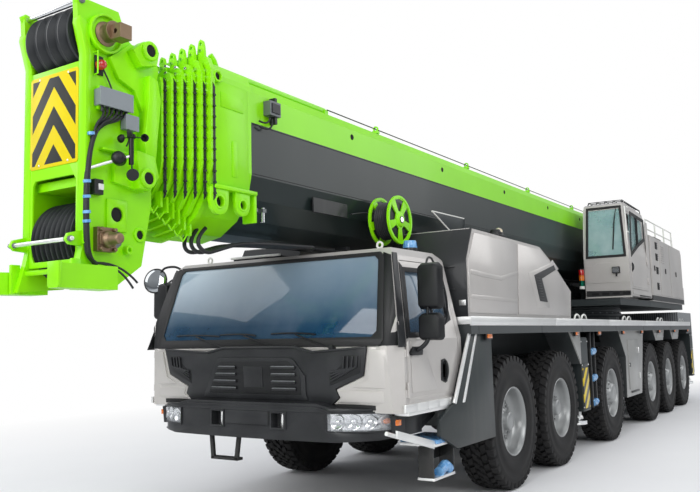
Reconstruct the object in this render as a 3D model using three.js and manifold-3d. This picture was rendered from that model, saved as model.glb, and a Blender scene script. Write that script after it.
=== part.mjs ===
// A six-axle all-terrain mobile crane with a seven-part telescopic boom, folded for the road.
// Millimetres, +Z up, +X towards the driver's cab, +Y towards the crane's left side.
// Lengths along X are counted from the first axle; the whole crane is centred at the end.
import * as THREE from "three";
import { mergeVertices } from "three/addons/utils/BufferGeometryUtils.js";
import Module from "manifold-3d";

const wasm = await Module();
wasm.setup();

// ---- driving dimensions ----
const SEAT = 0.4; // gap between pieces that rest on or turn in each other
const PLAY = 8; // side play of a box that slides in a box

// wheels and axles
const AXLES = [0, -1600, -4050, -6850, -8450, -10050];
const STEERED = [1, 2, 3, 5, 6];
const PLANETARY_FROM = 3; // this axle and those behind it have domed hubs
const TYRE_RADIUS = 685;
const TYRE_WIDTH = 385;
const RIM_RADIUS = 335;
const TRACK_OUTSIDE = 1430; // centre line to the outer face of a tyre
const KINGPIN_OFFSET = 930;
const KINGPIN_RADIUS = 55;
const KINGPIN_HALF = 150;
const STUB_RADIUS = 70;
const HUB_SEAT = 95; // inboard hub face, inwards from the middle of the tyre
const BEAM_HALF = 80;
const SHAFT_RADIUS = 45;

// chassis and deck
const REAR_END = -11600;
const CHASSIS_HALF = 440;
const CHASSIS_BOTTOM = 900;
const DECK_TOP = 1750;
const DECK_THICK = 70;
const SKIRT_BOTTOM = 1590;
const DECK_HALF = 1480;
const DECK_FRONT = 1180;
const DECK_REAR = -10900;
const PANEL_OUT = 1430;
const PANEL_IN = 1110;
const BOX_BOTTOM = 550;
const ENGINE = { front: 400, rear: -1400, half: 400, bottom: 1200, top: 2150 };

// outriggers
const STATIONS = [
  { name: "front", left: -2680, right: -3030, low: -3215, high: -2470 },
  { name: "rear", left: -11320, right: -11020, low: -11490, high: -10870 },
];
const BEAM_WIDE = { front: 320, rear: 270 };
const BEAM_BOTTOM = 780;
const BEAM_TOP = 1170;
const HOUSING_HALF = 1060;
const HOUSING_WALL = 60;
const JACK_OUT = 1410;
const JACK_RADIUS = 70;
const FOOT_BOTTOM = 370;

// driver's cab
const CAB_WALL = 50;
const CAB_FLOOR = 980;
const CAB_HALF = 1400;
const DOOR_GAP = 6;
const HINGE = { x: 2297, out: 13, radius: 12, height: 60 };

// engine hood
const HOOD_IN = 580;
const HOOD_OUT = 1420;
const HOOD_WALL = 40;
const HOOD_MIDDLE_TOP = 2240;

// superstructure
const SLEW_X = -6600;
const RING_RADIUS = 950;
const RING_BOTTOM = 1850;
const PLATFORM_BOTTOM = 2020;
const PLATFORM_TOP = 2130;
const CHEEK_IN = 560;
const CHEEK_OUT = 660;
const HOUSE_REAR = -10570;
const HOUSE_FRONT = -7250;
const HOUSE_TOP = 3360;
const HOUSE_IN = 690;
const SIDE_OUT = 1440;
const OP_CAB = { front: -5500, rear: -7180, low: 2170, high: 3780, in: 690 };
const OP_WALL = 45;
const WINCH = { x: -10260, z: 2520, drum: 210, flange: 290, half: 500, shaft: 60 };

// boom, measured from its foot pin
const FOOT_PIN = { x: -9300, z: 3100, radius: 130 };
const NOSE_DOWN = THREE.MathUtils.degToRad(0.75);
const SECTIONS = 7;
const BOOM_TAIL = -350;
const BOOM_FRONT = 12950;
const TUBE_WALL = 12;
const SECTION_STEP = 42; // each section is this much smaller all round
const BASE = { half: 500, top: 730, bottom: -537, corner: 110, belly: -60, cornerShare: 0.3 };
const COLLAR_LENGTH = 45;
const COLLAR_PITCH = 58;
const COLLAR_PROUD = 62;
const TAIL_PITCH = 90;

// boom head, counted from the front of the base section
const HEAD_FRONT = 920;
const HEAD_PLATE = 45;
const TOP_SHEAVE = { x: 770, z: 730, radius: 230, pin: 60 };
const LOW_SHEAVE = { x: 660, z: -652, radius: 265, pin: 60 };

// lift cylinder
const LIFT_FOOT = { x: -7150, z: 2320 };
const LIFT_EYE = { x: -3450, z: 2290 };
const BARREL_RADIUS = 160;
const BARREL_DEAD = 350; // closed cylinder: end of the barrel to the rod's eye
const ROD_RADIUS = 95;
const LIFT_PIN = 60;

// hose reel
const REEL = { x: 1250, y: 700, z: 2710, radius: 235, half: 110, pin: 35 };

// ---- shape helpers ----
function solidOf(geometry) {
  const plain = geometry.index ? geometry.toNonIndexed() : geometry.clone();
  plain.deleteAttribute("normal");
  plain.deleteAttribute("uv");
  const merged = mergeVertices(plain, 1e-3);
  const mesh = new wasm.Mesh({
    numProp: 3,
    vertProperties: merged.attributes.position.array,
    triVerts: new Uint32Array(merged.index.array),
  });
  return new wasm.Manifold(mesh);
}

function geometryOf(solid) {
  const { vertProperties, triVerts } = solid.getMesh();
  const geometry = new THREE.BufferGeometry();
  geometry.setAttribute("position", new THREE.BufferAttribute(vertProperties, 3));
  geometry.setIndex(new THREE.BufferAttribute(triVerts, 1));
  const faceted = geometry.toNonIndexed();
  faceted.computeVertexNormals();
  return faceted;
}

const join = (...solids) => solids.reduce((all, one) => all.add(one));
const cut = (from, ...solids) => solids.reduce((all, one) => all.subtract(one), from);
const meet = (...solids) => solids.reduce((all, one) => all.intersect(one));

function box([x0, x1], [y0, y1], [z0, z1]) {
  const geometry = new THREE.BoxGeometry(x1 - x0, y1 - y0, z1 - z0);
  return solidOf(geometry.translate((x0 + x1) / 2, (y0 + y1) / 2, (z0 + z1) / 2));
}

function extrude(outline, depth) {
  const shape = new THREE.Shape(outline.map(([a, b]) => new THREE.Vector2(a, b)));
  return new THREE.ExtrudeGeometry(shape, { depth, bevelEnabled: false });
}

// outlines in XZ, YZ and XY, pulled out along the third axis
const slabY = (outline, y0, y1) =>
  solidOf(extrude(outline, y1 - y0).rotateX(Math.PI / 2).translate(0, y1, 0));

function slabX(outline, x0, x1) {
  const turn = new THREE.Matrix4().makeBasis(
    new THREE.Vector3(0, 1, 0),
    new THREE.Vector3(0, 0, 1),
    new THREE.Vector3(1, 0, 0),
  );
  return solidOf(extrude(outline, x1 - x0).applyMatrix4(turn).translate(x0, 0, 0));
}

const slabZ = (outline, z0, z1) => solidOf(extrude(outline, z1 - z0).translate(0, 0, z0));

// a cylinder with a facet, or at phase 0 an edge, towards the first axis across it
function rod(from, to, radius, sides = 12, phase = 0.5) {
  const a = new THREE.Vector3(...from);
  const b = new THREE.Vector3(...to);
  const along = b.clone().sub(a);
  const geometry = new THREE.CylinderGeometry(
    radius, radius, along.length(), sides, 1, false, (2 * Math.PI * phase) / sides);
  const turn = new THREE.Quaternion().setFromUnitVectors(
    new THREE.Vector3(0, 1, 0), along.clone().normalize());
  geometry.applyQuaternion(turn);
  return solidOf(geometry.translate(...a.add(b).multiplyScalar(0.5).toArray()));
}

// the room in which a faceted rod of this radius turns, and the one in which it slides
const bore = (from, to, radius, sides = 12) =>
  rod(from, to, (radius + SEAT) / Math.cos(Math.PI / sides), sides, 0);
const sleeve = (from, to, radius, sides = 12) =>
  rod(from, to, radius + SEAT / Math.cos(Math.PI / sides), sides);

// a profile of [radius, y] points turned about the Y axis
function turned(profile, sides) {
  const points = profile.map(([r, y]) => new THREE.Vector2(r, y));
  return solidOf(new THREE.LatheGeometry(points, sides, Math.PI / sides));
}

// moves each side of an anticlockwise outline inwards
function inset(outline, distance) {
  const count = outline.length;
  const sides = outline.map(([x, y], i) => {
    const [nx, ny] = outline[(i + 1) % count];
    const length = Math.hypot(nx - x, ny - y);
    const normal = [-(ny - y) / length, (nx - x) / length];
    return { x: x + normal[0] * distance, y: y + normal[1] * distance, dx: nx - x, dy: ny - y };
  });
  return sides.map((side, i) => {
    const last = sides[(i + count - 1) % count];
    const cross = last.dx * side.dy - last.dy * side.dx;
    const t = ((side.x - last.x) * side.dy - (side.y - last.y) * side.dx) / cross;
    return [last.x + last.dx * t, last.y + last.dy * t];
  });
}

// points along part of an ellipse, both ends included
function arc(x, y, wide, high, from, to, steps) {
  return Array.from({ length: steps + 1 }, (_, i) => {
    const angle = from + ((to - from) * i) / steps;
    return [x + wide * Math.cos(angle), y + high * Math.sin(angle)];
  });
}

const bothSides = (make) => join(make(1), make(-1));
const span = (side, near, far) => (side > 0 ? [near, far] : [-far, -near]);

// ---- materials ----
const finish = (color, roughness, metalness) => () =>
  new THREE.MeshStandardMaterial({ color, roughness, metalness });
const LIME = finish(0x78d20f, 0.35, 0);
const DARK = finish(0x3a4545, 0.45, 0);
const SILVER = finish(0xb9b6b2, 0.4, 0.3);
const BLACK = finish(0x1c1e20, 0.6, 0);
const RUBBER = finish(0x1d1d1f, 0.9, 0);
const STEEL = finish(0x8f9496, 0.35, 0.8);
const GLASS = finish(0x3d5b6b, 0.1, 0);

const crane = new THREE.Group();
function piece(name, solid, material, parent = crane) {
  const mesh = new THREE.Mesh(geometryOf(solid), material());
  mesh.name = name;
  parent.add(mesh);
  return mesh;
}

// ---- wheels: tyre on a disc wheel with its hub ----
const WHEEL_SIDES = 24;
const WHEEL_CENTRE = TRACK_OUTSIDE - TYRE_WIDTH / 2;

function wheelSolid(domed) {
  const half = TYRE_WIDTH / 2;
  const tread = TYRE_RADIUS / Math.cos(Math.PI / WHEEL_SIDES);
  const hub = domed ? [[200, 60], [130, half + 10]] : [[150, 20], [95, 120]];
  const profile = [
    [0, -HUB_SEAT],
    [RIM_RADIUS - 40, -HUB_SEAT],
    [tread - 60, -half],
    [tread, -half + 45],
    [tread, half - 45],
    [tread - 60, half],
    [RIM_RADIUS, half - 20],
    [RIM_RADIUS - 50, domed ? 60 : 20],
    ...hub,
    [0, hub.at(-1)[1]],
  ];
  return turned(profile, WHEEL_SIDES);
}

// steering knuckle: kingpin and stub axle, counted from the kingpin's middle
const STUB_LENGTH = WHEEL_CENTRE - HUB_SEAT - KINGPIN_OFFSET - SEAT;
const knuckleSolid = (side) => join(
  rod([0, 0, -KINGPIN_HALF], [0, 0, KINGPIN_HALF], KINGPIN_RADIUS),
  rod([0, 0, 0], [0, side * STUB_LENGTH, 0], STUB_RADIUS),
);

AXLES.forEach((x, i) => {
  for (const [name, side] of [["left", 1], ["right", -1]]) {
    const wheel = piece(`wheel_${i + 1}_${name}`, wheelSolid(i + 1 >= PLANETARY_FROM), RUBBER);
    wheel.position.set(x, side * WHEEL_CENTRE, TYRE_RADIUS);
    wheel.rotation.z = side > 0 ? 0 : Math.PI;
    if (STEERED.includes(i + 1)) {
      piece(`knuckle_${i + 1}_${name}`, knuckleSolid(side), DARK)
        .position.set(x, side * KINGPIN_OFFSET, TYRE_RADIUS);
    }
  }
});

// axle beams with forked ends, a drive head, suspension struts and the shafts between them
const FORK_IN = KINGPIN_OFFSET - 130;
const FORK_OUT = FORK_IN + 60;
const FORK_HALF = 210;
const DRIVE_HEAD = { half: 170, radius: 190 };
const STRUT = { offset: 330, radius: 60 };
function axleBeam(x, steered) {
  const z = TYRE_RADIUS;
  const along = [x - BEAM_HALF, x + BEAM_HALF];
  const beam = join(
    box(along, [-FORK_OUT, FORK_OUT], [z - BEAM_HALF, z + BEAM_HALF]),
    rod([x, -DRIVE_HEAD.half, z], [x, DRIVE_HEAD.half, z], DRIVE_HEAD.radius),
    bothSides((side) => rod(
      [x, side * STRUT.offset, z], [x, side * STRUT.offset, CHASSIS_BOTTOM - SEAT],
      STRUT.radius, 8)),
  );
  if (!steered) {
    const end = WHEEL_CENTRE - HUB_SEAT - SEAT;
    return join(beam, rod([x, -end, z], [x, end, z], STUB_RADIUS + 10));
  }
  const tine = (side, up) => box(
    [x - KINGPIN_RADIUS, x + KINGPIN_RADIUS],
    span(side, FORK_IN, KINGPIN_OFFSET + KINGPIN_RADIUS),
    span(up, KINGPIN_HALF + SEAT, FORK_HALF).map((h) => z + h),
  );
  return join(beam, bothSides((side) => join(
    box(along, span(side, FORK_IN, FORK_OUT), [z - FORK_HALF, z + FORK_HALF]),
    tine(side, 1),
    tine(side, -1),
  )));
}

function axleGroup(numbers) {
  const at = numbers.map((n) => AXLES[n - 1]);
  const beams = numbers.map((n) => axleBeam(AXLES[n - 1], STEERED.includes(n)));
  const shaft = rod([at[0], 0, TYRE_RADIUS], [at.at(-1), 0, TYRE_RADIUS], SHAFT_RADIUS, 8);
  return join(shaft, ...beams);
}
piece("front_axles", axleGroup([1, 2]), DARK);
piece("rear_axles", axleGroup([3, 4, 5, 6]), DARK);

// ---- chassis: box girder, outrigger housings and the seat of the slewing ring ----
const deckBottom = DECK_TOP - DECK_THICK;
const girder = slabY([
  [REAR_END + 60, CHASSIS_BOTTOM], [1000, CHASSIS_BOTTOM], [1250, 720], [2250, 720],
  [2250, CAB_FLOOR - SEAT], [1100, CAB_FLOOR - SEAT], [900, 1200], [900, deckBottom - SEAT],
  [ENGINE.front + 60, deckBottom - SEAT], [ENGINE.front + 60, ENGINE.bottom - SEAT],
  [ENGINE.rear - 60, ENGINE.bottom - SEAT], [ENGINE.rear - 60, deckBottom - SEAT],
  [REAR_END + 60, deckBottom - SEAT],
], -CHASSIS_HALF, CHASSIS_HALF);

const beamSpan = (station, side) => {
  const middle = side > 0 ? station.left : station.right;
  const half = BEAM_WIDE[station.name] / 2;
  return [middle - half, middle + half];
};

const housing = (station) => box(
  [station.low, station.high],
  [-HOUSING_HALF, HOUSING_HALF],
  [BEAM_BOTTOM - HOUSING_WALL, BEAM_TOP + 2 * HOUSING_WALL],
);

const beamBore = (station, side) => {
  const [low, high] = beamSpan(station, side);
  return box([low - PLAY, high + PLAY], [-2000, 2000], [BEAM_BOTTOM - SEAT, BEAM_TOP + PLAY]);
};

piece("chassis_frame", cut(
  join(
    girder,
    ...STATIONS.map(housing),
    rod([SLEW_X, 0, 1400], [SLEW_X, 0, RING_BOTTOM - SEAT], RING_RADIUS, 24),
  ),
  ...STATIONS.flatMap((station) => [beamBore(station, 1), beamBore(station, -1)]),
), DARK);

// ---- outrigger beams and jacks, each pulled out sideways and then down ----
for (const station of STATIONS) {
  for (const [name, side] of [["left", 1], ["right", -1]]) {
    const [low, high] = beamSpan(station, side);
    const middle = (low + high) / 2;
    const jackY = side * (JACK_OUT - (JACK_OUT - HOUSING_HALF - 20) / 2);
    const slide = [10 - HOUSING_HALF, HOUSING_HALF + 60];
    const beam = join(
      box([low, high], side > 0 ? slide : [-slide[1], -slide[0]], [BEAM_BOTTOM, BEAM_TOP]),
      box([low, high], span(side, HOUSING_HALF + 20, JACK_OUT), [BOX_BOTTOM, 1500]),
    );
    const guide = sleeve([middle, jackY, 0], [middle, jackY, 1450], JACK_RADIUS);
    piece(`outrigger_${station.name}_${name}`, cut(beam, guide), DARK);
    const jack = join(
      rod([middle, jackY, FOOT_BOTTOM + 40], [middle, jackY, 1380], JACK_RADIUS),
      rod([middle, jackY, FOOT_BOTTOM], [middle, jackY, FOOT_BOTTOM + 50], 150, 16),
    );
    piece(`jack_${station.name}_${name}`, jack, STEEL);
  }
}

// ---- deck with side lockers, wheel arches and the rear box ----
const LOCKERS = [
  [[900, 600], [1180, 600], [1180, 1700], [680, 1700], [640, 1590]],
  [[-2460, 1170], [-2420, 1170], [-1960, 1590], [-1960, 1700], [-2460, 1700]],
  [[-5920, BOX_BOTTOM], [-4870, BOX_BOTTOM], [-4930, 1180], [-4520, 1590], [-4520, 1700],
    [-6260, 1700], [-6260, 1580]],
  [[-7310, 1400], [-7100, 1590], [-7100, 1700], [-8200, 1700], [-8130, 1590], [-7990, 1400]],
  [[-8950, 1400], [-8750, 1590], [-8750, 1700], [-9750, 1700], [-9750, 1590], [-9560, 1400]],
];
const fairings = LOCKERS.map((outline) => bothSides((side) =>
  slabY(outline, ...span(side, PANEL_IN, PANEL_OUT))));
const skirt = bothSides((side) =>
  box([DECK_REAR, DECK_FRONT], span(side, 1380, DECK_HALF), [SKIRT_BOTTOM, DECK_TOP - 20]));
const rearBox = join(
  box([REAR_END, -10860], [-1400, 1400], [1500, 1960]),
  box([REAR_END, -11505], [-1400, 1400], [620, 1960]),
  box([-10880, -9900], [-1400, 1400], [1700, 1960]),
);
const engineHole = box(
  [ENGINE.rear - 60, ENGINE.front + 60],
  [-ENGINE.half - 40, ENGINE.half + 40],
  [0, 3000],
);
const girderRoom = box([-20000, 5000], [-CHASSIS_HALF - 5, CHASSIS_HALF + 5], [0, deckBottom]);
const ringRoom = rod([SLEW_X, 0, 0], [SLEW_X, 0, 3000], RING_RADIUS + 20, 24);
const deck = cut(
  join(
    box([DECK_REAR, DECK_FRONT], [-DECK_HALF, DECK_HALF], [deckBottom, DECK_TOP]),
    skirt,
    ...fairings,
    rearBox,
  ),
  engineHole,
  girderRoom,
  ringRoom,
);
piece("deck_and_lockers", deck, DARK);

// ---- driver's cab: a shell of one wall thickness, cut for its doors and windscreen ----
const CAB_SIDE = [
  [1240, CAB_FLOOR], [2400, CAB_FLOOR], [2440, 1500], [2215, 2260], [2130, 2335],
  [1330, 2345], [1240, 2290],
];
const CAB_FACE = [
  [-CAB_HALF, CAB_FLOOR - 200], [CAB_HALF, CAB_FLOOR - 200], [CAB_HALF, 1560], [1240, 2270],
  [1140, 2400], [-1140, 2400], [-1240, 2270], [-CAB_HALF, 1560],
];
const CAB_PLAN = [
  [1000, -CAB_HALF - 20], [2310, -CAB_HALF - 20], [2430, -1300], [2480, -1000], [2480, 1000],
  [2430, 1300], [2310, CAB_HALF + 20], [1000, CAB_HALF + 20],
];
const WINDSCREEN = [[-1150, 1590], [1150, 1590], [1060, 2215], [-1060, 2215]];
const DOOR = [
  [1310, 1030], [2292, 1030], [2292, 1560], [2110, 2225], [1310, 2235],
];
const DOOR_WINDOW = [
  [1400, 1745], [1900, 1600], [2210, 1600], [2060, 2140], [1400, 2150],
];
const WINDOW_PROUD = 18;
const GLASS_THICK = 10;

const cabShape = (depth) => meet(
  slabY(inset(CAB_SIDE, depth), -2000, 2000),
  slabX(inset(CAB_FACE, depth), 0, 3000),
  slabZ(inset(CAB_PLAN, depth), 0, 3000),
);
const cabShell = cut(cabShape(0), cabShape(CAB_WALL));
const screenHole = slabX(WINDSCREEN, 2050, 2600);

const doorHinge = (side, z) => {
  const y = side * (CAB_HALF + HINGE.out);
  const leaf = span(side, CAB_HALF + SEAT, CAB_HALF + HINGE.out);
  const root = span(side, CAB_HALF - 10, CAB_HALF + 5);
  const level = [z, z + HINGE.height];
  const over = z + HINGE.height + SEAT;
  return {
    cab: join(
      rod([HINGE.x, y, z], [HINGE.x, y, level[1]], HINGE.radius),
      box([HINGE.x, HINGE.x + 30], leaf, level),
      box([HINGE.x + 5, HINGE.x + 30], root, level),
    ),
    door: join(
      rod([HINGE.x, y, over], [HINGE.x, y, over + HINGE.height], HINGE.radius),
      box([HINGE.x - 40, HINGE.x], leaf, [over, over + HINGE.height]),
      box([HINGE.x - 40, HINGE.x - 15], root, [over, over + HINGE.height]),
    ),
  };
};
const HINGE_LEVELS = [1100, 1420];
const doorOpening = slabY(DOOR, -2000, 2000);
const cabHinges = [1, -1].flatMap((side) => HINGE_LEVELS.map((z) => doorHinge(side, z).cab));
const doorways = cut(doorOpening, box([0, 4000], [-1000, 1000], [0, 4000]));
piece("driver_cab", join(cut(cabShell, screenHole, doorways), ...cabHinges), SILVER);

const screenPane = meet(
  cut(cabShape(WINDOW_PROUD), cabShape(WINDOW_PROUD + GLASS_THICK)),
  slabX(inset(WINDSCREEN, SEAT), 2050, 2600),
);
piece("windscreen", screenPane, GLASS);

for (const [name, side] of [["left", 1], ["right", -1]]) {
  const reach = span(side, 1000, 1600);
  const leaf = cut(
    meet(cabShell, slabY(inset(DOOR, DOOR_GAP), ...reach)),
    slabY(DOOR_WINDOW, ...reach),
  );
  const hinges = HINGE_LEVELS.map((z) => doorHinge(side, z).door);
  piece(`cab_door_${name}`, join(leaf, ...hinges), SILVER);
  // mirror: a tall head and a wide-angle head on one arm from the door's belt line
  const out = CAB_HALF + SEAT;
  const mirror = join(
    box([2080, 2230], span(side, out, out + 30), [1430, 1490]),
    rod([2150, side * (out + 15), 1460], [1960, side * 1620, 1500], 22, 8),
    rod([1960, side * 1620, 1490], [1960, side * 1620, 2150], 18, 8),
    box([1880, 1950], span(side, 1500, 1740), [1790, 2190]),
    box([1880, 1950], span(side, 1500, 1740), [1545, 1770]),
    box([1930, 1970], span(side, 1600, 1640), [1600, 1900]),
  );
  piece(`mirror_${name}`, mirror, BLACK);
}

// ---- bumper with its lamp corners ----
const bumperPlan = [
  [2250 + SEAT, -1310], [2380, -1310], [2500, -1180], [2540, -900], [2540, 900], [2500, 1180],
  [2380, 1310], [2250 + SEAT, 1310],
];
piece("bumper", slabZ(bumperPlan, 760, CAB_FLOOR - 5), BLACK);

// ---- engine and its hood, high on both sides and low under the boom ----
piece("engine_block", box(
  [ENGINE.rear, ENGINE.front], [-ENGINE.half, ENGINE.half], [ENGINE.bottom, ENGINE.top]), STEEL);
const HOOD_SIDE = [
  [-2130, DECK_TOP + SEAT], [1090, DECK_TOP + SEAT], [1090, 2300], [930, 2600],
  [-1030, 2590], [-1570, 2400], [-2190, 2110],
];
const HOOD_MIDDLE = [
  [-2130, DECK_TOP + SEAT], [1090, DECK_TOP + SEAT], [1090, HOOD_MIDDLE_TOP],
  [-1800, HOOD_MIDDLE_TOP], [-2190, 2110],
];
const openBelow = (outline) => inset(outline, HOOD_WALL).map(([x, z]) =>
  [x, z < DECK_TOP + HOOD_WALL + 5 ? DECK_TOP - 50 : z]);
const hoodTower = (side) => slabY(HOOD_SIDE, ...span(side, HOOD_IN, HOOD_OUT));
const hoodRoom = (side) => slabY(
  openBelow(HOOD_SIDE), ...span(side, HOOD_IN + HOOD_WALL, HOOD_OUT - HOOD_WALL));
const hood = cut(
  join(bothSides(hoodTower), slabY(HOOD_MIDDLE, -HOOD_IN - 20, HOOD_IN + 20)),
  hoodRoom(1),
  hoodRoom(-1),
  slabY(openBelow(HOOD_MIDDLE), -HOOD_IN - HOOD_WALL - 5, HOOD_IN + HOOD_WALL + 5),
);
piece("engine_hood", hood, SILVER);

// ---- slewing platform: ring, base plate and the two cheeks that hold the boom foot ----
const CHEEK = [
  [-10480, PLATFORM_TOP - 20], [-6900, PLATFORM_TOP - 20], [-8700, 3000], [-9050, 3330],
  [-9550, 3330], [-9800, 3050], [-10000, 2860], [-10480, 2760],
];
const PLATFORM_PLAN = [
  [HOUSE_REAR, -SIDE_OUT + 40], [HOUSE_FRONT, -SIDE_OUT + 40], [HOUSE_FRONT, -700],
  [-5350, -620], [-5350, SIDE_OUT - 140], [HOUSE_FRONT, SIDE_OUT - 40],
  [HOUSE_REAR, SIDE_OUT - 40],
];
const pinAt = (x, z, half, radius, sides) => rod([x, -half, z], [x, half, z], radius, sides);
const boreAt = (x, z, radius, sides) => bore([x, -2000, z], [x, 2000, z], radius, sides);
const footBore = boreAt(FOOT_PIN.x, FOOT_PIN.z, FOOT_PIN.radius, 20);
const winchBore = boreAt(WINCH.x, WINCH.z, WINCH.shaft);
const liftLug = (side) => slabY([
  [LIFT_FOOT.x - 260, PLATFORM_TOP - 20], [LIFT_FOOT.x + 260, PLATFORM_TOP - 20],
  [LIFT_FOOT.x + 110, LIFT_FOOT.z + 90], [LIFT_FOOT.x - 110, LIFT_FOOT.z + 90],
], ...span(side, 205, 265));
const platform = cut(
  join(
    rod([SLEW_X, 0, RING_BOTTOM], [SLEW_X, 0, PLATFORM_BOTTOM + 20], RING_RADIUS - 20, 24),
    slabZ(PLATFORM_PLAN, PLATFORM_BOTTOM, PLATFORM_TOP),
    bothSides((side) => slabY(CHEEK, ...span(side, CHEEK_IN, CHEEK_OUT))),
    bothSides(liftLug),
    pinAt(LIFT_FOOT.x, LIFT_FOOT.z, 240, LIFT_PIN, 12),
  ),
  footBore,
  winchBore,
);
piece("slewing_platform", platform, DARK);

// ---- winch drum between the cheeks ----
const drumEnd = CHEEK_OUT - 10;
piece("winch_drum", turned([
  [0, -drumEnd], [WINCH.shaft, -drumEnd], [WINCH.shaft, -WINCH.half], [WINCH.flange, -WINCH.half],
  [WINCH.flange, -WINCH.half + 30], [WINCH.drum, -WINCH.half + 30],
  [WINCH.drum, WINCH.half - 30], [WINCH.flange, WINCH.half - 30], [WINCH.flange, WINCH.half],
  [WINCH.shaft, WINCH.half], [WINCH.shaft, drumEnd], [0, drumEnd],
], 12), DARK).position.set(WINCH.x, 0, WINCH.z);

// ---- machinery house: a body on each side and the tail plate between them ----
const HOUSE = [
  [HOUSE_REAR, PLATFORM_TOP + SEAT], [HOUSE_FRONT, PLATFORM_TOP + SEAT],
  [HOUSE_FRONT, HOUSE_TOP], [HOUSE_REAR + 90, HOUSE_TOP - 40], [HOUSE_REAR, HOUSE_TOP - 130],
];
piece("machinery_house", join(
  bothSides((side) => slabY(HOUSE, ...span(side, HOUSE_IN, SIDE_OUT))),
  box([HOUSE_REAR - 60, HOUSE_REAR + 20], [-SIDE_OUT, SIDE_OUT], [PLATFORM_TOP + SEAT, 2500]),
), SILVER);

// ---- operator's cab on the left of the boom ----
const OP_SIDE = [
  [OP_CAB.rear, OP_CAB.low], [OP_CAB.front - 40, OP_CAB.low], [OP_CAB.front, 2820],
  [OP_CAB.front - 130, OP_CAB.high - 40], [OP_CAB.front - 240, OP_CAB.high],
  [OP_CAB.rear + 80, OP_CAB.high - 60], [OP_CAB.rear, OP_CAB.high - 160],
];
const OP_DOOR = [
  [-6900, 2290], [-5640, 2290], [-5600, 2840], [-5700, 3650], [-6900, 3620],
];
const OP_DOOR_WINDOW = [
  [-6800, 3220], [-6250, 3060], [-5720, 2860], [-5800, 3590], [-6800, 3560],
];
const opFace = [
  [OP_CAB.in, OP_CAB.low - 100], [SIDE_OUT, OP_CAB.low - 100], [SIDE_OUT, 2900],
  [SIDE_OUT - 90, OP_CAB.high + 60], [OP_CAB.in + 20, OP_CAB.high + 60],
];
const opShape = (depth) => meet(
  slabY(inset(OP_SIDE, depth), 0, 2000),
  slabX(inset(opFace, depth), -8000, -5000),
);
const opShell = cut(opShape(0), opShape(OP_WALL));
const opScreen = slabX([
  [OP_CAB.in + 70, 2860], [SIDE_OUT - 70, 2860], [SIDE_OUT - 140, 3660], [OP_CAB.in + 80, 3660],
], -5900, -5000);
const OP_HINGE = { x: -6905, y: SIDE_OUT + 13, levels: [2400, 2760] };
const opHinge = (z, towards, up) => join(
  rod([OP_HINGE.x, OP_HINGE.y, z + up], [OP_HINGE.x, OP_HINGE.y, z + up + 60], HINGE.radius),
  box(
    towards > 0 ? [OP_HINGE.x, OP_HINGE.x + 45] : [OP_HINGE.x - 45, OP_HINGE.x],
    [SIDE_OUT + SEAT, OP_HINGE.y],
    [z + up, z + up + 60],
  ),
  box(
    towards > 0 ? [OP_HINGE.x + 15, OP_HINGE.x + 45] : [OP_HINGE.x - 45, OP_HINGE.x - 10],
    [SIDE_OUT - 10, SIDE_OUT + 5],
    [z + up, z + up + 60],
  ),
);
const opFoot = box(
  [OP_CAB.rear + 200, OP_CAB.front - 300],
  [OP_CAB.in + 60, SIDE_OUT - 200],
  [PLATFORM_TOP + SEAT, OP_CAB.low + 10],
);
piece("operator_cab", join(
  cut(opShell, opScreen, slabY(OP_DOOR, 1200, 2000)),
  opFoot,
  ...OP_HINGE.levels.map((z) => opHinge(z, -1, 0)),
), SILVER);
piece("operator_door", join(
  cut(meet(opShell, slabY(inset(OP_DOOR, DOOR_GAP), 1200, 2000)), slabY(OP_DOOR_WINDOW, 1200, 2000)),
  ...OP_HINGE.levels.map((z) => opHinge(z, 1, 60 + SEAT)),
), SILVER);

// ---- boom: seven nested box sections on the foot pin ----
const boom = new THREE.Group();
boom.position.set(FOOT_PIN.x, 0, FOOT_PIN.z);
boom.rotation.y = NOSE_DOWN;
crane.add(boom);

// outline of a section: flat top with round corners, straight sides, a bowl below
function sectionOutline(grow) {
  const half = BASE.half + grow;
  const top = BASE.top + grow;
  const bottom = BASE.bottom - grow;
  const corner = BASE.corner + grow * BASE.cornerShare;
  const quarter = Math.PI / 2;
  return [
    ...arc(half - corner, top - corner, corner, corner, 0, quarter, 2),
    ...arc(corner - half, top - corner, corner, corner, quarter, 2 * quarter, 2),
    ...arc(0, BASE.belly, half, BASE.belly - bottom, 2 * quarter, 4 * quarter, 8),
  ];
}
const sectionBar = (grow, x0, x1) => slabX(sectionOutline(grow), x0, x1);
const sectionFront = (i) => BOOM_FRONT + COLLAR_PITCH * i;
const sectionTail = (i) => (i === 0 ? BOOM_TAIL : 260 + TAIL_PITCH * i);

function boomTube(i) {
  const grow = -SECTION_STEP * i;
  const front = sectionFront(i);
  const tail = sectionTail(i);
  const roomFrom = i === 0 ? tail + 560 : tail - 10;
  return cut(
    join(
      sectionBar(grow, tail, front),
      sectionBar(grow + COLLAR_PROUD, front - COLLAR_LENGTH, front),
    ),
    sectionBar(grow - TUBE_WALL, roomFrom, front - COLLAR_LENGTH),
    sectionBar(grow - SECTION_STEP + SEAT, roomFrom, front + 10),
  );
}

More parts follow.
